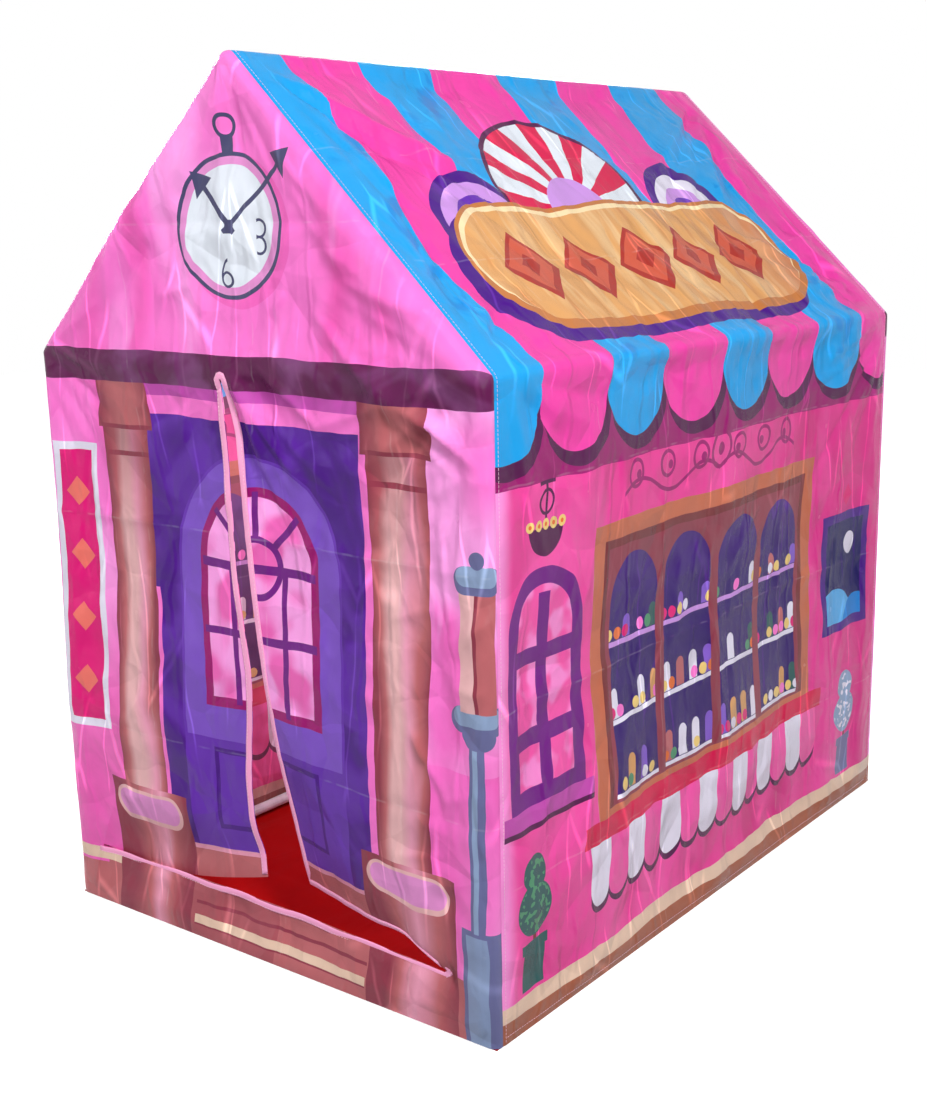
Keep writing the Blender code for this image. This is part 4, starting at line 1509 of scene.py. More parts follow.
@dataclass
class Flap:
    """One of the doorway's two flaps: where it folds, its loose edge and how it hangs."""

    side: str
    front: EndShape
    foot: Vector
    edge: Curve
    lift: Curve
    taped_bottom: bool = True
    reach_share: float = 0.994
    tuck: float = 0.0026
    lift_power: int = 8
    hang_depth: float = 0.008
    ripple_depth: float = 0.0045
    ripple_count: float = 1.6
    ripple_start: float = 0.6
    push_slope: float = 0.34
    crease_softness: float = 0.013
    crease_start: Span = (0.558, 0.065)
    crease_end: Span = (0.896, 0.315)

    @property
    def doorway(self) -> Doorway:
        """The doorway that it hangs in."""
        return self.front.doorway

    def ends(self, down: float) -> tuple[Vector, Vector]:
        """The ends of a row: on the fold line and on the loose edge."""
        fold = self.doorway.peak.lerp(self.foot, down * self.reach_share)
        drop = down * self.edge.points[-1].x
        return fold, self.doorway.place(drop, self.edge.at(drop))

    def depth(self, place: Vector, share: float, down: float) -> float:
        """How far the flap lies behind the front panel.

        Args:
            place: The place across and up.
            share: How far it is from the fold line to the loose edge.
            down: How far it is down the flap.

        Returns:
            The depth in metres.
        """
        if self.side == "left":
            ripple = math.sin(2 * math.pi * self.ripple_count * down + self.ripple_start)
            hang = share * share * down * (self.hang_depth + self.ripple_depth * (1 + ripple))
            return hang + self.tuck * min(1.0, share / 0.05) * smooth_step(down, 0.90, 0.97)
        start, end = self.doorway.place(*self.crease_start), self.doorway.place(*self.crease_end)
        past = (end - start).normalized().cross(start - place)
        soft = (past + math.hypot(past, self.crease_softness)) / 2
        return min(1.0, 4 * share) * self.push_slope * soft + 0.001 * share

    def point(self, share: float, down: float) -> Vector:
        """The cloth's outside at a share across from the fold line and a share down.

        Args:
            share: From 0 on the fold line to 1 on the loose edge.
            down: From 0 at the peak to 1 at the bottom.

        Returns:
            The point.
        """
        fold, loose = self.ends(down)
        place = fold.lerp(loose, share)
        rise = self.front.rise(*place) * (1 - 0.6 * share)
        if self.side == "left":
            behind = self.front.rise(place.x, self.doorway.sill_at(place.x)) - 0.001
            rise += min(0.0, behind - rise) * smooth_step(down, 0.86, 0.96) * min(1.0, share / 0.05)
        place.y += self.lift.at(share) * self.doorway.height * down**self.lift_power
        depth = self.depth(place, share, down)
        return Vector((place.x, -self.front.tent.half_depth + depth - rise, place.y))

    def layout(self, share: float, down: float) -> Vector:
        """The print's flat coordinates at a place on the flap, measured along the cloth."""
        fold, loose = self.ends(down)
        points = [self.point(share * step / 6, down) for step in range(7)]
        length = sum((b - a).length for a, b in zip(points, points[1:]))
        return Vector((fold.x + (length if self.side == "left" else -length), fold.lerp(loose, share).y, 0))


# Cover


@dataclass
class Cover:
    """The sewn cloth cover: two ends, two sides and the floor."""

    tent: TentShape
    front: EndShape
    back: EndShape
    side_relief: Relief
    front_spacing: float = 0.0034
    back_spacing: float = 0.0042
    side_spacing: float = 0.0050
    bend_spacing: float = 0.0024
    floor_spacing: float = 0.008
    sag: float = 0.0095
    made: dict[str, list[Material]] = field(default_factory=dict)

    def make_end(self, end: int) -> Piece:
        """Makes an end panel: the back for 1 and the front for -1."""
        if end < 0:
            name, hung, draw, spacing = "front_cloth", self.front, draw_front, self.front_spacing
        else:
            name, hung, draw, spacing = "back_cloth", self.back, draw_back, self.back_spacing
        cloth = end_sheet(self.tent, spacing)
        if end < 0:
            self.cut_doorway(cloth)

        def shape(across: float, up: float) -> Vector:
            """Carries a flat place onto the end of the tent."""
            return end_point(self.tent, end, across, up, hung.rise(across, up))

        return make_sheet(name, cloth, shape, (0, end, 0), self.finishes(f"{name}_print", draw, hung.relief))

    def finishes(self, name: str, draw: Callable[[Print], None], relief: Relief) -> list[Material]:
        """A printed cloth's outside and inside, made once for each name."""
        if name not in self.made:
            finish = ClothFinish(name, draw, relief.upright_creases, relief.level_creases)
            self.made[name] = finish.make_pair()
        return self.made[name]

    def cut_doorway(self, cloth: Mesh) -> None:
        """Cuts the doorway's triangle out of the flat front panel."""
        doorway = self.front.doorway
        corners = [point.to_3d() for point in (doorway.peak, doorway.sill_left, doorway.sill_right)]
        for start, end in zip(corners, corners[1:] + corners[:1]):
            along = (end - start).normalized()
            near = []
            for face in cloth.faces:
                offset = face.calc_center_median() - start
                share = offset.dot(along)
                if -0.01 < share < (end - start).length + 0.01 and (offset - along * share).length < 0.01:
                    near.append(face)
            geometry = {item for face in near for item in (face, *face.edges, *face.verts)}
            across = along.cross(Vector((0, 0, 1)))
            bmesh.ops.bisect_plane(cloth, geom=list(geometry), plane_co=start, plane_no=across, dist=0.0001)
        inside = [face for face in cloth.faces if intersect_point_tri_2d(face.calc_center_median(), *corners)]
        bmesh.ops.delete(cloth, geom=inside, context="FACES")

    def make_side(self, side: int) -> Piece:
        """Makes a side, which is the wall and its half of the roof: the right for 1, the left for -1."""
        tent = self.tent
        name = "right_cloth" if side > 0 else "left_cloth"
        slope_start = tent.eave + tent.corner * tent.lean
        slope_end = slope_start + tent.slope_length
        rows = steps(tent.hem, tent.eave, self.side_spacing)
        rows += steps(tent.eave, slope_start, self.bend_spacing)
        rows += steps(slope_start, slope_end, self.side_spacing)
        rows += all_steps(slope_end, tent.side_length, self.bend_spacing)
        near, inmost = (0.0, 0.0013, 0.0026, SEAM_INSET), 0.007
        columns = [inset - tent.bar_along for inset in near]
        columns += all_steps(inmost - tent.bar_along, tent.bar_along - inmost, self.side_spacing)
        columns += [tent.bar_along - inset for inset in reversed(near)]
        cloth = flat_grid(columns, rows)

        def shape(along: float, up: float) -> Vector:
            """Carries a flat place onto the side of the tent."""
            return side_point(tent, side, along, up, self.side_rise(along, up))

        finishes = self.finishes("side_print", draw_side, self.side_relief)
        return make_sheet(name, cloth, shape, (side, 0, 0), finishes)

    def side_rise(self, along: float, up: float) -> float:
        """How far a side's cloth stands out at a place, fading towards its seams."""
        tent = self.tent
        edge = tent.bar_along - abs(along)
        fade = smooth_step(edge, -0.004, 0.065) * smooth_step(up, 0.0, 0.03)
        fade *= smooth_step(tent.side_length - up, 0.0, 0.030)
        bulge = bell(up - tent.eave - 0.004, 0.022)
        sag = -self.sag * smooth_step(edge, 0.004, 0.07) * (1 - bulge) * smooth_step(up, 0.0, 0.06)
        groove = -GROOVE_DEPTH * bell(edge, GROOVE_WIDTH)
        total = (self.side_relief.rise(along, up) * (1 - 0.3 * bulge) + sag) * fade + groove
        return kept_off(total, min(edge, up, abs(up - tent.eave - 0.004), tent.side_length - up))

    def seam_path(self, side: int, along: float) -> Path:
        """A line up a side's cloth, from its hem to the ridge.

        Args:
            side: 1 for the right side and -1 for the left.
            along: The line's place from front to back.

        Returns:
            Each place and its outward direction.
        """
        path = []
        for up in steps(0.006, self.tent.side_length - 0.002, 0.004):
            rise = self.side_rise(along, up)
            place = side_point(self.tent, side, along, up, rise)
            path.append((place, (side_point(self.tent, side, along, up, rise + 0.01) - place).normalized()))
        return path

    def hem_path(self, side: int) -> Path:
        """A line along the foot of a side's cloth."""
        up, reach, out = 0.0095, self.tent.bar_along - 0.008, Vector((side, 0, 0))
        return [(side_point(self.tent, side, along, up, self.side_rise(along, up)), out)
                for along in steps(-reach, reach, 0.006)]

    def make_floor(self) -> Piece:
        """Makes the floor sheet, with its cloth's low wrinkles."""
        wide, deep = self.tent.half_width - 0.002, self.tent.half_depth - 0.002
        columns, rows = (all_steps(-reach, reach, self.floor_spacing) for reach in (wide, deep))
        cloth = flat_grid(columns, rows)
        relief = Relief(seed=5, crumple=0.0009, upright_creases=(-0.16, 0.0, 0.17), level_creases=(0.2, 0.5))

        def shape(across: float, along: float) -> Vector:
            """Carries a flat place onto the floor."""
            edge = min(wide - abs(across), deep - abs(along))
            rise = max(0.0, relief.rise(across, along + 0.5) + 0.0004) * smooth_step(edge, 0.02, 0.06)
            return Vector((across, along, 0.0009 + rise))

        finish = ClothFinish("floor_cloth_red", draw_floor, roughness=0.55, gloss=0.1, crinkle=0.0005).make()
        return make_sheet("floor_cloth", cloth, shape, (0, 0, 1), [finish], thickness=0.0008)


@dataclass
class Edging:
    """A folded tape sewn over a cut edge."""

    name: str
    stations: Stations
    finish: Material
    width: float = 0.0082
    thickness: float = 0.0021

    def section(self) -> list[tuple[float, float]]:
        """The folded tape's section: how far in from its fold, and how far off the cloth's middle."""
        half = self.thickness / 2
        near = [(0.0, 0.0), (0.0004, -0.55), (0.0014, -0.95), (0.0040, -1.0), (0.0078, -0.9), (0.0095, -0.55)]
        scale = self.width / 0.0095
        front = [(inset * scale, offset * half) for inset, offset in near]
        return front + [(inset, -offset) for inset, offset in front[:0:-1]]

    def stitch_path(self) -> Path:
        """The line of its stitches, near the edge away from its fold."""
        inset, lift = 0.78 * self.width, 0.47 * self.thickness
        return [(edge + inward * inset + out * lift, out) for edge, inward, out in self.stations]

    def make(self) -> Piece:
        """Makes the tape.

        Returns:
            The piece.
        """
        section = self.section()
        count = len(section)
        tape = flat_grid(range(count + 1), range(len(self.stations)))
        layer = tape.verts.layers.float_vector.new(FLAT)
        travelled = [0.0]
        for (a, _, _), (b, _, _) in zip(self.stations, self.stations[1:]):
            travelled.append(travelled[-1] + (b - a).length)
        for vert in tape.verts:
            inset, offset = section[round(vert.co.x) % count]
            station = round(vert.co.y)
            edge, inward, out = self.stations[station]
            vert[layer] = (travelled[station], inset if offset >= 0 else -inset, 0)
            vert.co = edge + inward * inset - out * offset
        bmesh.ops.remove_doubles(tape, verts=tape.verts, dist=0.00002)
        ends = [edge for edge in tape.edges if edge.is_boundary]
        bmesh.ops.holes_fill(tape, edges=ends, sides=0)
        bmesh.ops.recalc_face_normals(tape, faces=tape.faces)
        return make_piece(self.name, tape, [self.finish])


@dataclass
class DoorPieces:
    """The doorway's flaps and the tapes that bind its edges."""

    front: EndShape
    flaps: tuple[Flap, Flap]
    binding: Material
    thread: Material
    rows: int = 130
    columns: int = 34
    bend: Span = (0.0005, 0.0240)

    def make_flap(self, flap: Flap, finishes: Sequence[Material]) -> Piece:
        """Makes a flap's cloth with its outside and inside finishes."""
        shares = [index / self.columns for index in range(self.columns + 1)]
        downs = [0.006 + 0.994 * index / self.rows for index in range(self.rows + 1)]
        cloth = flat_grid(shares, downs)
        return make_sheet(f"door_cloth_{flap.side}", cloth, flap.point, (0, -1, 0), finishes, flap.layout)

    def bind(self, name: str, stations: Stations) -> list[Piece]:
        """Makes a tape along its stations, and its row of stitches."""
        edging = Edging(name, stations, self.binding)
        row = StitchRow(name.replace("binding", "stitches"), edging.stitch_path(), self.thread)
        return [edging.make(), row.make()]

    def hang(self, flap: Flap, finishes: Sequence[Material]) -> None:
        """Makes a flap, its tape and its stitches, hides the imported flap and tape, and bakes the new
        pieces' places into their meshes.

        Args:
            flap: The flap.
            finishes: The cloth's outside and inside finishes.
        """
        cloth = self.make_flap(flap, finishes)
        tape, stitches = self.bind(f"door_binding_{flap.side}", self.edge_stations(flap))
        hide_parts(f"door_flap_{flap.side}")
        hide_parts(f"flap_tape_{flap.side}")
        peak = self.front.doorway.peak
        fold = (flap.foot - peak).normalized()
        across = Vector((-fold.y, 0, fold.x)) * (1 if flap.side == "left" else -1)
        base = Vector((peak.x, -self.front.tent.half_depth, peak.y))
        start, end = (base + across * reach for reach in self.bend)
        for piece, slot in ((cloth, "flap_cloth"), (tape, "tape_cloth"), (stitches, "tape_cloth")):
            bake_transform(piece)
            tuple(start)
            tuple(end)
        declare(cloth, 0.30, 0.62, ["front_cloth"], [tape, stitches])

    def trim(self) -> list[Piece]:
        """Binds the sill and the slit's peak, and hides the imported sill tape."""
        trims = self.bind("sill_binding", self.outline_stations(self.sill_outline(), -0.0004))
        trims += self.bind("peak_binding", self.outline_stations(self.peak_outline(), 0.0006))
        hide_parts("sill_tape")
        return trims

    def edge_stations(self, flap: Flap) -> Stations:
        """The tape's path down a flap's loose edge, round its corner and along its bottom.

        Args:
            flap: The flap.

        Returns:
            Each station's edge point, direction into the cloth and outward direction.
        """
        stations = []
        path = [(1.0, 0.012 + 0.982 * index / 110) for index in range(111)]
        if flap.taped_bottom:
            path += [(1.0 - 0.035 * index, 1.0) for index in range(29)]
        for index, (share, down) in enumerate(path):
            edge = flap.point(share, down)
            across = (flap.point(max(share - 0.05, 0.0), down) - edge).normalized()
            upward = (flap.point(share, max(down - 0.015, 0.001)) - edge).normalized()
            turn = smooth_step(index, 104, 114) if flap.taped_bottom else 0.0
            inward = across.lerp(upward, turn).normalized()
            out = across.cross(upward)
            if out.y > 0:
                out.negate()
            stations.append((edge, inward, out.normalized()))
        return stations

    def outline_stations(self, outline: Sequence[Vector], proud: float) -> Stations:
        """A tape's path round a part of the doorway's edge on the front cloth.

        Args:
            outline: The edge's points, across and up, with the cloth to the right of the way they run.
            proud: How far the tape's middle lies in front of the cloth.

        Returns:
            Each station's edge point, direction into the cloth and outward direction.
        """
        stations = []
        for index, place in enumerate(outline):
            after = outline[min(index + 1, len(outline) - 1)]
            along = (after - outline[max(index - 1, 0)]).normalized()
            edge = Vector((place.x, -self.front.tent.half_depth - self.front.rise(*place) - proud, place.y))
            stations.append((edge, Vector((along.y, 0, -along.x)), Vector((0, -1, 0))))
        return stations

    def sill_outline(self) -> list[Vector]:
        """The sill's edge, with its right end turned up a little at the doorway's corner."""
        left, right = self.front.doorway.sill_left, self.front.doorway.sill_right
        outline = [left + Vector((-0.004, 0.0008))]
        for index in range(101):
            place = left.lerp(right, 0.004 + 0.990 * index / 100)
            place.y += 0.0012 * math.sin(index * 0.33) * math.sin(math.pi * index / 100)
            outline.append(place)
        return outline + [right + Vector((0.0006, 0.0030)), right + Vector((-0.0016, 0.0072))]

    def peak_outline(self) -> list[Vector]:
        """The slit's edge round its peak, up from the right flap and down to the left."""
        left, right = self.flaps
        legs = [[flap.ends(0.012 + 0.05 * index / 12)[1] for index in range(13)] for flap in (left, right)]
        top = self.front.doorway.peak + Vector((0.0, 0.0015))
        arc = [top + Vector((0.0012 * math.cos(turn), 0.0012 * math.sin(turn)))
               for turn in (0.4, 1.1, math.pi / 2, 2.0, 2.7)]
        return legs[1][::-1] + arc + legs[0]


@dataclass
class StitchRow:
    """A row of machine stitches along a path of places and outward directions."""

    name: str
    path: Path
    finish: Material
    pitch: float = 0.0042
    length: float = 0.0028
    radius: float = 0.00028

    def make(self) -> Piece:
        """Makes the stitches as one piece.

        Returns:
            The piece.
        """
        stitches = bmesh.new()
        travelled, due = 0.0, 0.0
        for (start, out), (end, _) in zip(self.path, self.path[1:]):
            span = (end - start).length
            while span > 0 and due <= travelled + span:
                place = start.lerp(end, (due - travelled) / span)
                along = (end - start).normalized()
                side = out.cross(along).normalized()
                turn = Matrix((side, along.cross(side), along)).transposed().to_4x4()
                bmesh.ops.create_cone(
                    stitches, cap_ends=True, segments=6, radius1=self.radius, radius2=self.radius * 0.8,
                    depth=self.length, matrix=Matrix.Translation(place + out * self.radius * 0.4) @ turn)
                due += self.pitch
            travelled += span
        return make_piece(self.name, stitches, [self.finish])


# Studio


@dataclass
class Studio:
    """The pale floor, the soft lights and the camera."""

    lens: float = 50.13
    sensor: float = 36.0
    azimuth: float = 37.903
    elevation: float = 12.616
    roll: float = -1.086
    distance: float = 2.0526
    shift_across: float = -0.0509
    shift_up: float = -0.0954
    light_distance: float = 3.0

    @staticmethod
    def stand(name: str, data: bpy.types.ID, place: Vector, basis: Matrix) -> Piece:
        """Stands a light or camera at a place, turned by a basis.

        Args:
            name: Its name.
            data: The light's or camera's data.
            place: Its place.
            basis: Its turn.

        Returns:
            The object.
        """
        thing = bpy.data.objects.new(name, data)
        thing.matrix_world = Matrix.Translation(place) @ basis.to_4x4()
        bpy.context.scene.collection.objects.link(thing)
        return thing

    @staticmethod
    def direction(azimuth: float, elevation: float) -> Vector:
        """The way from the tent at degrees round it, from the front, and degrees over the ground."""
        turn, lift = math.radians(azimuth), math.radians(elevation)
        return Vector((math.sin(turn) * math.cos(lift), -math.cos(turn) * math.cos(lift), math.sin(lift)))

    def make_camera(self) -> None:
        """Stands the camera where the photograph was taken from."""
        back, roll = self.direction(self.azimuth, self.elevation), math.radians(self.roll)
        right = (-back).cross(Vector((0, 0, 1))).normalized()
        up = right.cross(-back)
        across = right * math.cos(roll) + up * math.sin(roll)
        above = up * math.cos(roll) - right * math.sin(roll)
        lens = bpy.data.cameras.new("camera")
        lens.lens, lens.sensor_width, lens.sensor_fit = self.lens, self.sensor, "AUTO"
        shift = across * self.shift_across + above * self.shift_up
        basis = Matrix((across, above, back)).transposed()
        place = TENT_MIDDLE + back * self.distance + shift
        bpy.context.scene.camera = self.stand("camera", lens, place, basis)

    def make_light(self, name: str, azimuth: float, elevation: float, level: float, size: float) -> None:
        """Hangs a soft square light that faces the tent.

        Args:
            name: The light's name.
            azimuth: Its direction round the tent, from the front, in degrees.
            elevation: Its height over the ground, in degrees.
            level: How brightly it lights a white surface that faces it, from 0 to 1.
            size: Its side.
        """
        out = self.direction(azimuth, elevation)
        light = bpy.data.lights.new(name, "AREA")
        light.energy, light.size = level * (math.pi * self.light_distance) ** 2, size
        basis = out.to_track_quat("Z", "Y").to_matrix()
        self.stand(name, light, TENT_MIDDLE + out * self.light_distance, basis)

    def make_glow(self) -> None:
        """Stands for the daylight that comes through the thin cloth into the tent."""
        light = bpy.data.lights.new("glow", "POINT")
        light.energy, light.shadow_soft_size = 9.0, 0.22
        lamp = self.stand("glow", light, Vector((0.0, 0.02, 0.62)), Matrix.Identity(3))
        lamp.visible_camera = lamp.visible_glossy = False

    def make_floor(self) -> None:
        """Makes the pale floor, which the camera sees white further out."""
        ground = bmesh.new()
        bmesh.ops.create_grid(ground, x_segments=1, y_segments=1, size=6)
        finish, nodes, shader = start_material("studio_floor")
        seen = self.seen_directly(nodes)
        away = nodes.vector("LENGTH", nodes.add("TexCoord").outputs["Object"])
        glow = nodes.scaled(nodes.fade(away, 1.0, 3.0), 0.45, 0.55)
        nodes.named(shader, **{
            "Base Color": nodes.mix(seen, (0.32, 0.32, 0.32, 1), (0.93, 0.93, 0.93, 1)),
            "Roughness": 0.9,
            "Specular IOR Level": 0.0,
            "Emission Color": Ink.STUDIO.linear,
            "Emission Strength": nodes.calc("MULTIPLY", seen, glow),
        })
        make_piece("studio_floor", ground, [finish])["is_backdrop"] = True

    def make(self) -> None:
        """Makes the floor, the world, the lights and the camera."""
        self.make_floor()
        world = bpy.data.worlds.new("studio")
        bpy.context.scene.world = world
        world.use_nodes = True
        nodes = Nodes(world.node_tree)
        strength = nodes.scaled(self.seen_directly(nodes), 0.80, 0.20)
        nodes.named(world.node_tree.nodes["Background"], Color=Ink.STUDIO.linear, Strength=strength)
        for light in (("key", 51.0, 34.0, 0.82, 0.5), ("fill", -34.0, 22.0, 0.34, 0.6),
                      ("side", 128.0, 16.0, 0.14, 0.6), ("left", -104.0, 18.0, 0.36, 0.7),
                      ("back", -146.0, 24.0, 0.44, 0.7)):
            self.make_light(*light)
        self.make_glow()
        self.make_camera()
        bpy.context.scene.view_settings.view_transform = "Standard"

    @staticmethod
    def seen_directly(nodes: Nodes) -> Socket:
        """1 for what the camera, a reflection or a clear piece sees of the studio."""
        path = nodes.add("LightPath")
        either = nodes.calc("MAXIMUM", path.outputs["Is Camera Ray"], path.outputs["Is Glossy Ray"])
        return nodes.calc("MAXIMUM", either, path.outputs["Is Transmission Ray"])


# Whole tent


def tube_names() -> list[str]:
    """The names of the frame's tubes."""
    return [name for name in frame["nodes"] if any(part in name for part in ("tube", "post", "rafter"))]


def dress_frame() -> None:
    """Gives the tubes and the connectors their plastics."""
    tube = PlasticFinish("tube_plastic", Ink.TUBE, 0.38, 0.00005, (1.0, 1.0, 0.2)).make()
    connector = PlasticFinish("connector_plastic", Ink.CONNECTOR, 0.45, 0.00012).make()
    connectors = [name for name in frame["nodes"] if "connector" in name]
    for names, finish in ((tube_names(), tube), (connectors, connector)):
        for name in names:
            materials = frame["nodes"][name].data.materials
            materials.clear()
            materials.append(finish)


def make_doorway(joints: Sequence[dict]) -> Doorway:
    """The doorway's corners, with its peak where the flaps' joints meet."""
    peak = joints[0]["pos_m"]
    return Doorway(Vector((peak[0], peak[2])), Vector((-0.29011, 0.072)), Vector((0.26532, 0.066)))


def make_reliefs() -> tuple[Relief, Relief, Relief]:
    """The folds of the front, the back and the sides.

    Returns:
        The three reliefs.
    """
    front = Relief(
        seed=1, crumple=0.0040, upright_creases=(-0.170, 0.020, 0.215), level_creases=(0.245, 0.505, 0.845),
        folds=(
            Pleat(0.325, 0.612, 149.0, 0.200, 0.0075, 0.0072),
            Pleat(0.292, 0.636, 153.0, 0.120, 0.0055, 0.0044),
            Pleat(0.290, 0.600, 140.0, 0.110, 0.0055, 0.0030),
            Pleat(-0.020, 0.690, -50.0, 0.160, 0.0060, 0.0056),
            Pleat(-0.010, 0.690, -68.0, 0.130, 0.0055, 0.0046),
            Pleat(0.020, 0.700, -35.0, 0.120, 0.0055, 0.0038),
            Pleat(0.110, 0.760, -40.0, 0.180, 0.0070, 0.0050),
            Pleat(0.315, 0.745, 165.0, 0.160, 0.0060, 0.0050),
            Fan(11, 9, 0.325, 0.700, (140.0, 262.0), (0.10, 0.26), (0.0014, 0.0036)),
            Fan(12, 7, -0.325, 0.700, (-85.0, 50.0), (0.08, 0.20), (0.0012, 0.0030)),
            Fan(13, 8, -0.025, 0.690, (-155.0, -30.0), (0.07, 0.20), (0.0012, 0.0028)),
            Fan(14, 9, 0.0, 1.005, (-128.0, -52.0), (0.06, 0.17), (0.0010, 0.0024)),
            Scatter(15, 26, (0.05, 0.30, 0.72, 0.95), -44.0, 16.0),
            Scatter(16, 22, (-0.30, 0.05, 0.72, 0.98), 55.0, 30.0),
            Scatter(17, 46, (-0.32, 0.32, 0.08, 0.66), 78.0, 34.0),
            Scatter(18, 14, (0.17, 0.33, 0.10, 0.62), 25.0, 22.0),
        ),
    )
    back = Relief(
        seed=2, crumple=0.0040, upright_creases=(-0.18, 0.01, 0.19), level_creases=(0.25, 0.52, 0.80),
        folds=(
            Fan(21, 9, 0.325, 0.700, (140.0, 262.0), (0.10, 0.24), (0.0014, 0.0032)),
            Fan(22, 9, -0.325, 0.700, (-85.0, 40.0), (0.10, 0.24), (0.0014, 0.0032)),
            Fan(23, 8, 0.0, 1.005, (-128.0, -52.0), (0.06, 0.17), (0.0010, 0.0024)),
            Scatter(24, 60, (-0.32, 0.32, 0.08, 0.92), 80.0, 40.0),
        ),
    )
    side = Relief(
        seed=3, crumple=0.0044, upright_creases=(-0.285, -0.130, 0.025, 0.180, 0.335),
        level_creases=(0.170, 0.360, 0.590, 0.855, 1.010),
        folds=(
            Fan(31, 12, -0.462, 0.700, (-88.0, -8.0), (0.09, 0.26), (0.0014, 0.0034)),
            Fan(32, 13, 0.462, 0.700, (188.0, 268.0), (0.10, 0.34), (0.0016, 0.0040)),
            Fan(33, 16, -0.462, 1.140, (-92.0, -28.0), (0.10, 0.40), (0.0016, 0.0040)),
            Fan(34, 14, 0.462, 1.140, (206.0, 272.0), (0.12, 0.42), (0.0016, 0.0040)),
            Fan(35, 9, -0.462, 0.715, (8.0, 86.0), (0.08, 0.24), (0.0014, 0.0034)),
            Fan(36, 9, 0.462, 0.715, (94.0, 170.0), (0.10, 0.30), (0.0014, 0.0034)),
            Scatter(37, 46, (-0.45, 0.45, 0.74, 1.12), 102.0, 20.0, (0.04, 0.16), (0.0008, 0.0026)),
            Scatter(38, 40, (-0.45, 0.45, 0.62, 0.76), 90.0, 16.0, (0.03, 0.09), (0.0008, 0.0026)),
            Scatter(39, 60, (-0.44, 0.44, 0.06, 0.66), 84.0, 34.0, (0.03, 0.13), (0.0006, 0.0019)),
        ),
    )
    return front, back, side


def make_flaps(front: EndShape) -> tuple[Flap, Flap]:
    """The doorway's two flaps, with their loose edges and how far each one's bottom is drawn up or down."""
    left_edge = ((0.0, 0.0), (0.030, -0.004), (0.195, -0.004), (0.327, -0.002), (0.541, 0.018),
                 (0.756, 0.002), (0.959, 0.014))
    left_lift = ((0.0, 0.0), (0.1, -0.0154), (0.3, -0.023), (0.55, -0.029), (0.75, -0.020),
                 (0.9, -0.009), (1.0, 0.0))
    right_edge = ((0.0, 0.0), (0.096, 0.023), (0.327, 0.036), (0.558, 0.065), (0.723, 0.076), (0.968, 0.099))
    right_lift = ((0.0, 0.0), (0.10, 0.012), (0.25, 0.034), (0.45, 0.026), (0.70, 0.012), (1.0, 0.0))
    left_foot, right_foot = front.doorway.sill_left, front.doorway.sill_right
    return (Flap("left", front, left_foot, Curve(left_edge), Curve(left_lift), taped_bottom=False),
            Flap("right", front, right_foot, Curve(right_edge), Curve(right_lift)))


def flat_area(piece: Piece) -> float:
    """The area of a piece's cloth as it is laid out flat, which is half of both its faces together."""
    layer = piece.data.attributes[FLAT]
    total = 0.0
    for face in piece.data.polygons:
        points = [Vector(layer.data[index].vector).xy for index in face.vertices]
        total += abs(sum(a.cross(b) for a, b in zip(points, points[1:] + points[:1]))) / 4
    return total


def declare(piece: Piece, width: float, length: float, rests_on: Sequence[str],
            with_pieces: Sequence[Piece] = ()) -> None:
    """Works out a piece's flat area, held under a width times a length, and keeps nothing of it."""
    area = min(flat_area(piece), width * length)
    list(with_pieces)


def seat(piece: Piece, slot: str, *replaced: str) -> None:
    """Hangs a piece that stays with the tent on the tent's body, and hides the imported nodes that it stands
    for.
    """
    if replaced:
        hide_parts(*replaced)
    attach(piece, "tent")


def sew_seams(cover: Cover, side: int, name: str, thread: Material) -> list[Piece]:
    """Makes the rows of stitches up a side's corner seams and along its hem.

    Args:
        cover: The cover.
        side: 1 for the right side and -1 for the left.
        name: The side's name.
        thread: The stitches' finish.

    Returns:
        The pieces.
    """
    inset = cover.tent.bar_along - SEAM_INSET
    rows = {"front_seam": cover.seam_path(side, -inset), "back_seam": cover.seam_path(side, inset),
            "hem": cover.hem_path(side)}
    return [StitchRow(f"{seam}_stitches_{name}", path, thread).make() for seam, path in rows.items()]


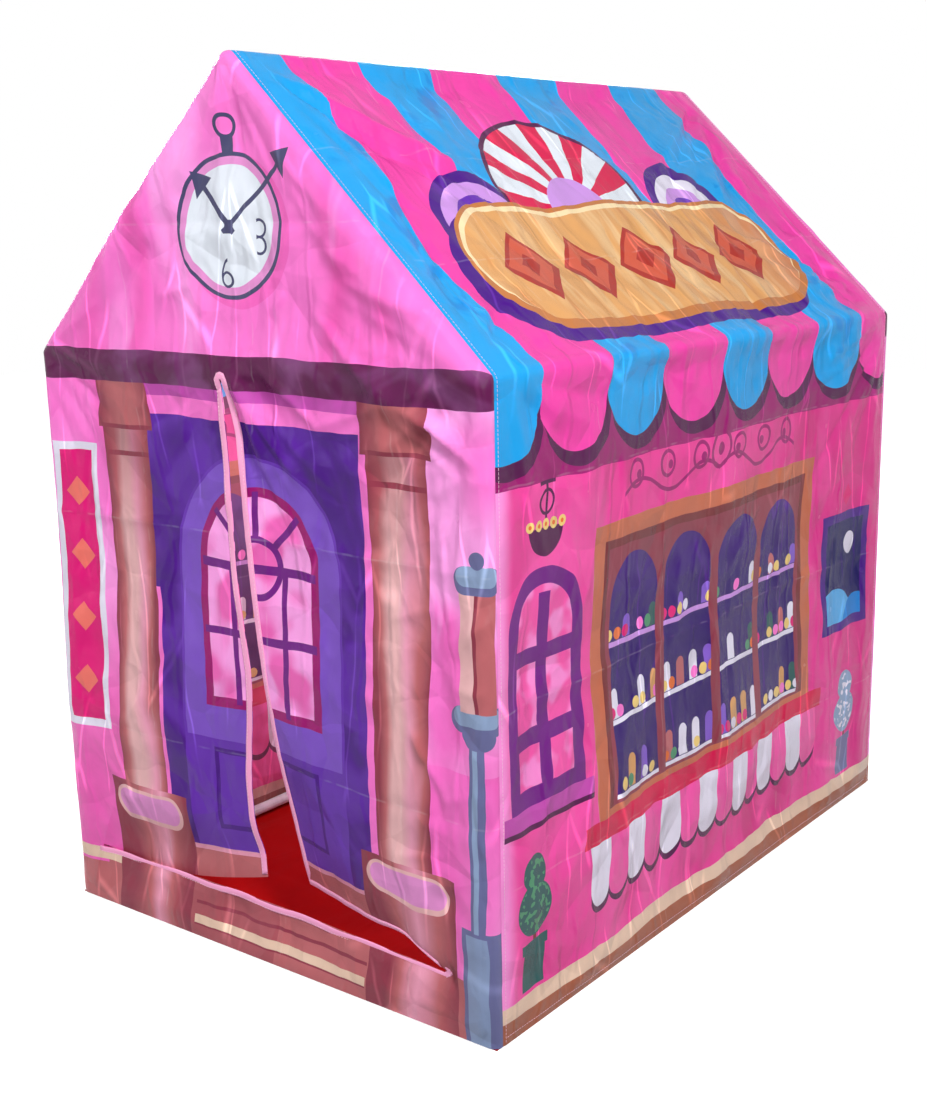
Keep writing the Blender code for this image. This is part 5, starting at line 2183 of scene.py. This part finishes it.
def declare_cover(tent: TentShape, sheets: dict[str, Piece], trims: Sequence[Piece],
                  seams: dict[str, list[Piece]]) -> None:
    """Passes each of the cover's cloths, with the tubes under it and what is sewn on it, to declare, which
    keeps nothing.

    Args:
        tent: The tent's shape.
        sheets: The cover's cloths, by name.
        trims: The tapes and stitches on the front.
        seams: Each side's stitches.
    """
    tubes = tube_names()
    wide, tall = 2 * (tent.bar_across + tent.rim_length), tent.ridge + tent.rim_length
    for name in ("front", "back"):
        sewn_on = trims if name == "front" else ()
        declare(sheets[name], wide, tall, [tube for tube in tubes if name in tube], sewn_on)
    for name, stitches in seams.items():
        under = [tube for tube in tubes if name in tube or "ridge" in tube]
        declare(sheets[name], 2 * tent.bar_along, tent.side_length, under, stitches)
    declare(sheets["floor"], 2 * tent.half_width, 2 * tent.half_depth, ["front_cloth"])


def main() -> None:
    """Dresses the tent: its frame, cover, doorway and studio."""
    logging.basicConfig(level=logging.INFO, format="%(message)s")
    tent = TentShape.from_frame()
    doorway = make_doorway(frame["joints"])
    front_relief, back_relief, side_relief = make_reliefs()
    front = EndShape(tent, doorway, front_relief)
    cover = Cover(tent, front, EndShape(tent, doorway, back_relief), side_relief)
    dress_frame()
    sheets = {"front": cover.make_end(-1), "back": cover.make_end(1), "left": cover.make_side(-1),
              "right": cover.make_side(1), "floor": cover.make_floor()}
    seat(sheets["front"], "end_cloth", "front_panel")
    seat(sheets["back"], "end_cloth", "back_panel")
    for name in ("left", "right"):
        seat(sheets[name], "wall_cloth", f"side_wall_{name}", f"roof_slope_{name}")
    seat(sheets["floor"], "floor_cloth", "floor_sheet")
    binding = ClothFinish("binding_tape", draw_tape, roughness=0.5, crinkle=0.0003, thread=0.0011).make()
    thread = PlasticFinish("stitch_thread", Ink.THREAD, 0.5, 0.00002).make()
    door = DoorPieces(front, make_flaps(front), binding, thread)
    for flap in door.flaps:
        door.hang(flap, list(sheets["front"].data.materials))
    trims = door.trim()
    seams = {name: sew_seams(cover, side, name, thread) for name, side in (("left", -1), ("right", 1))}
    for piece in trims + seams["left"] + seams["right"]:
        seat(piece, "tape_cloth")
    declare_cover(tent, sheets, trims, seams)
    Studio().make()
    new_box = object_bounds()
    [[list(corner) for corner in box] for box in (cad_box, new_box)]


if __name__ == "__main__":
    main()
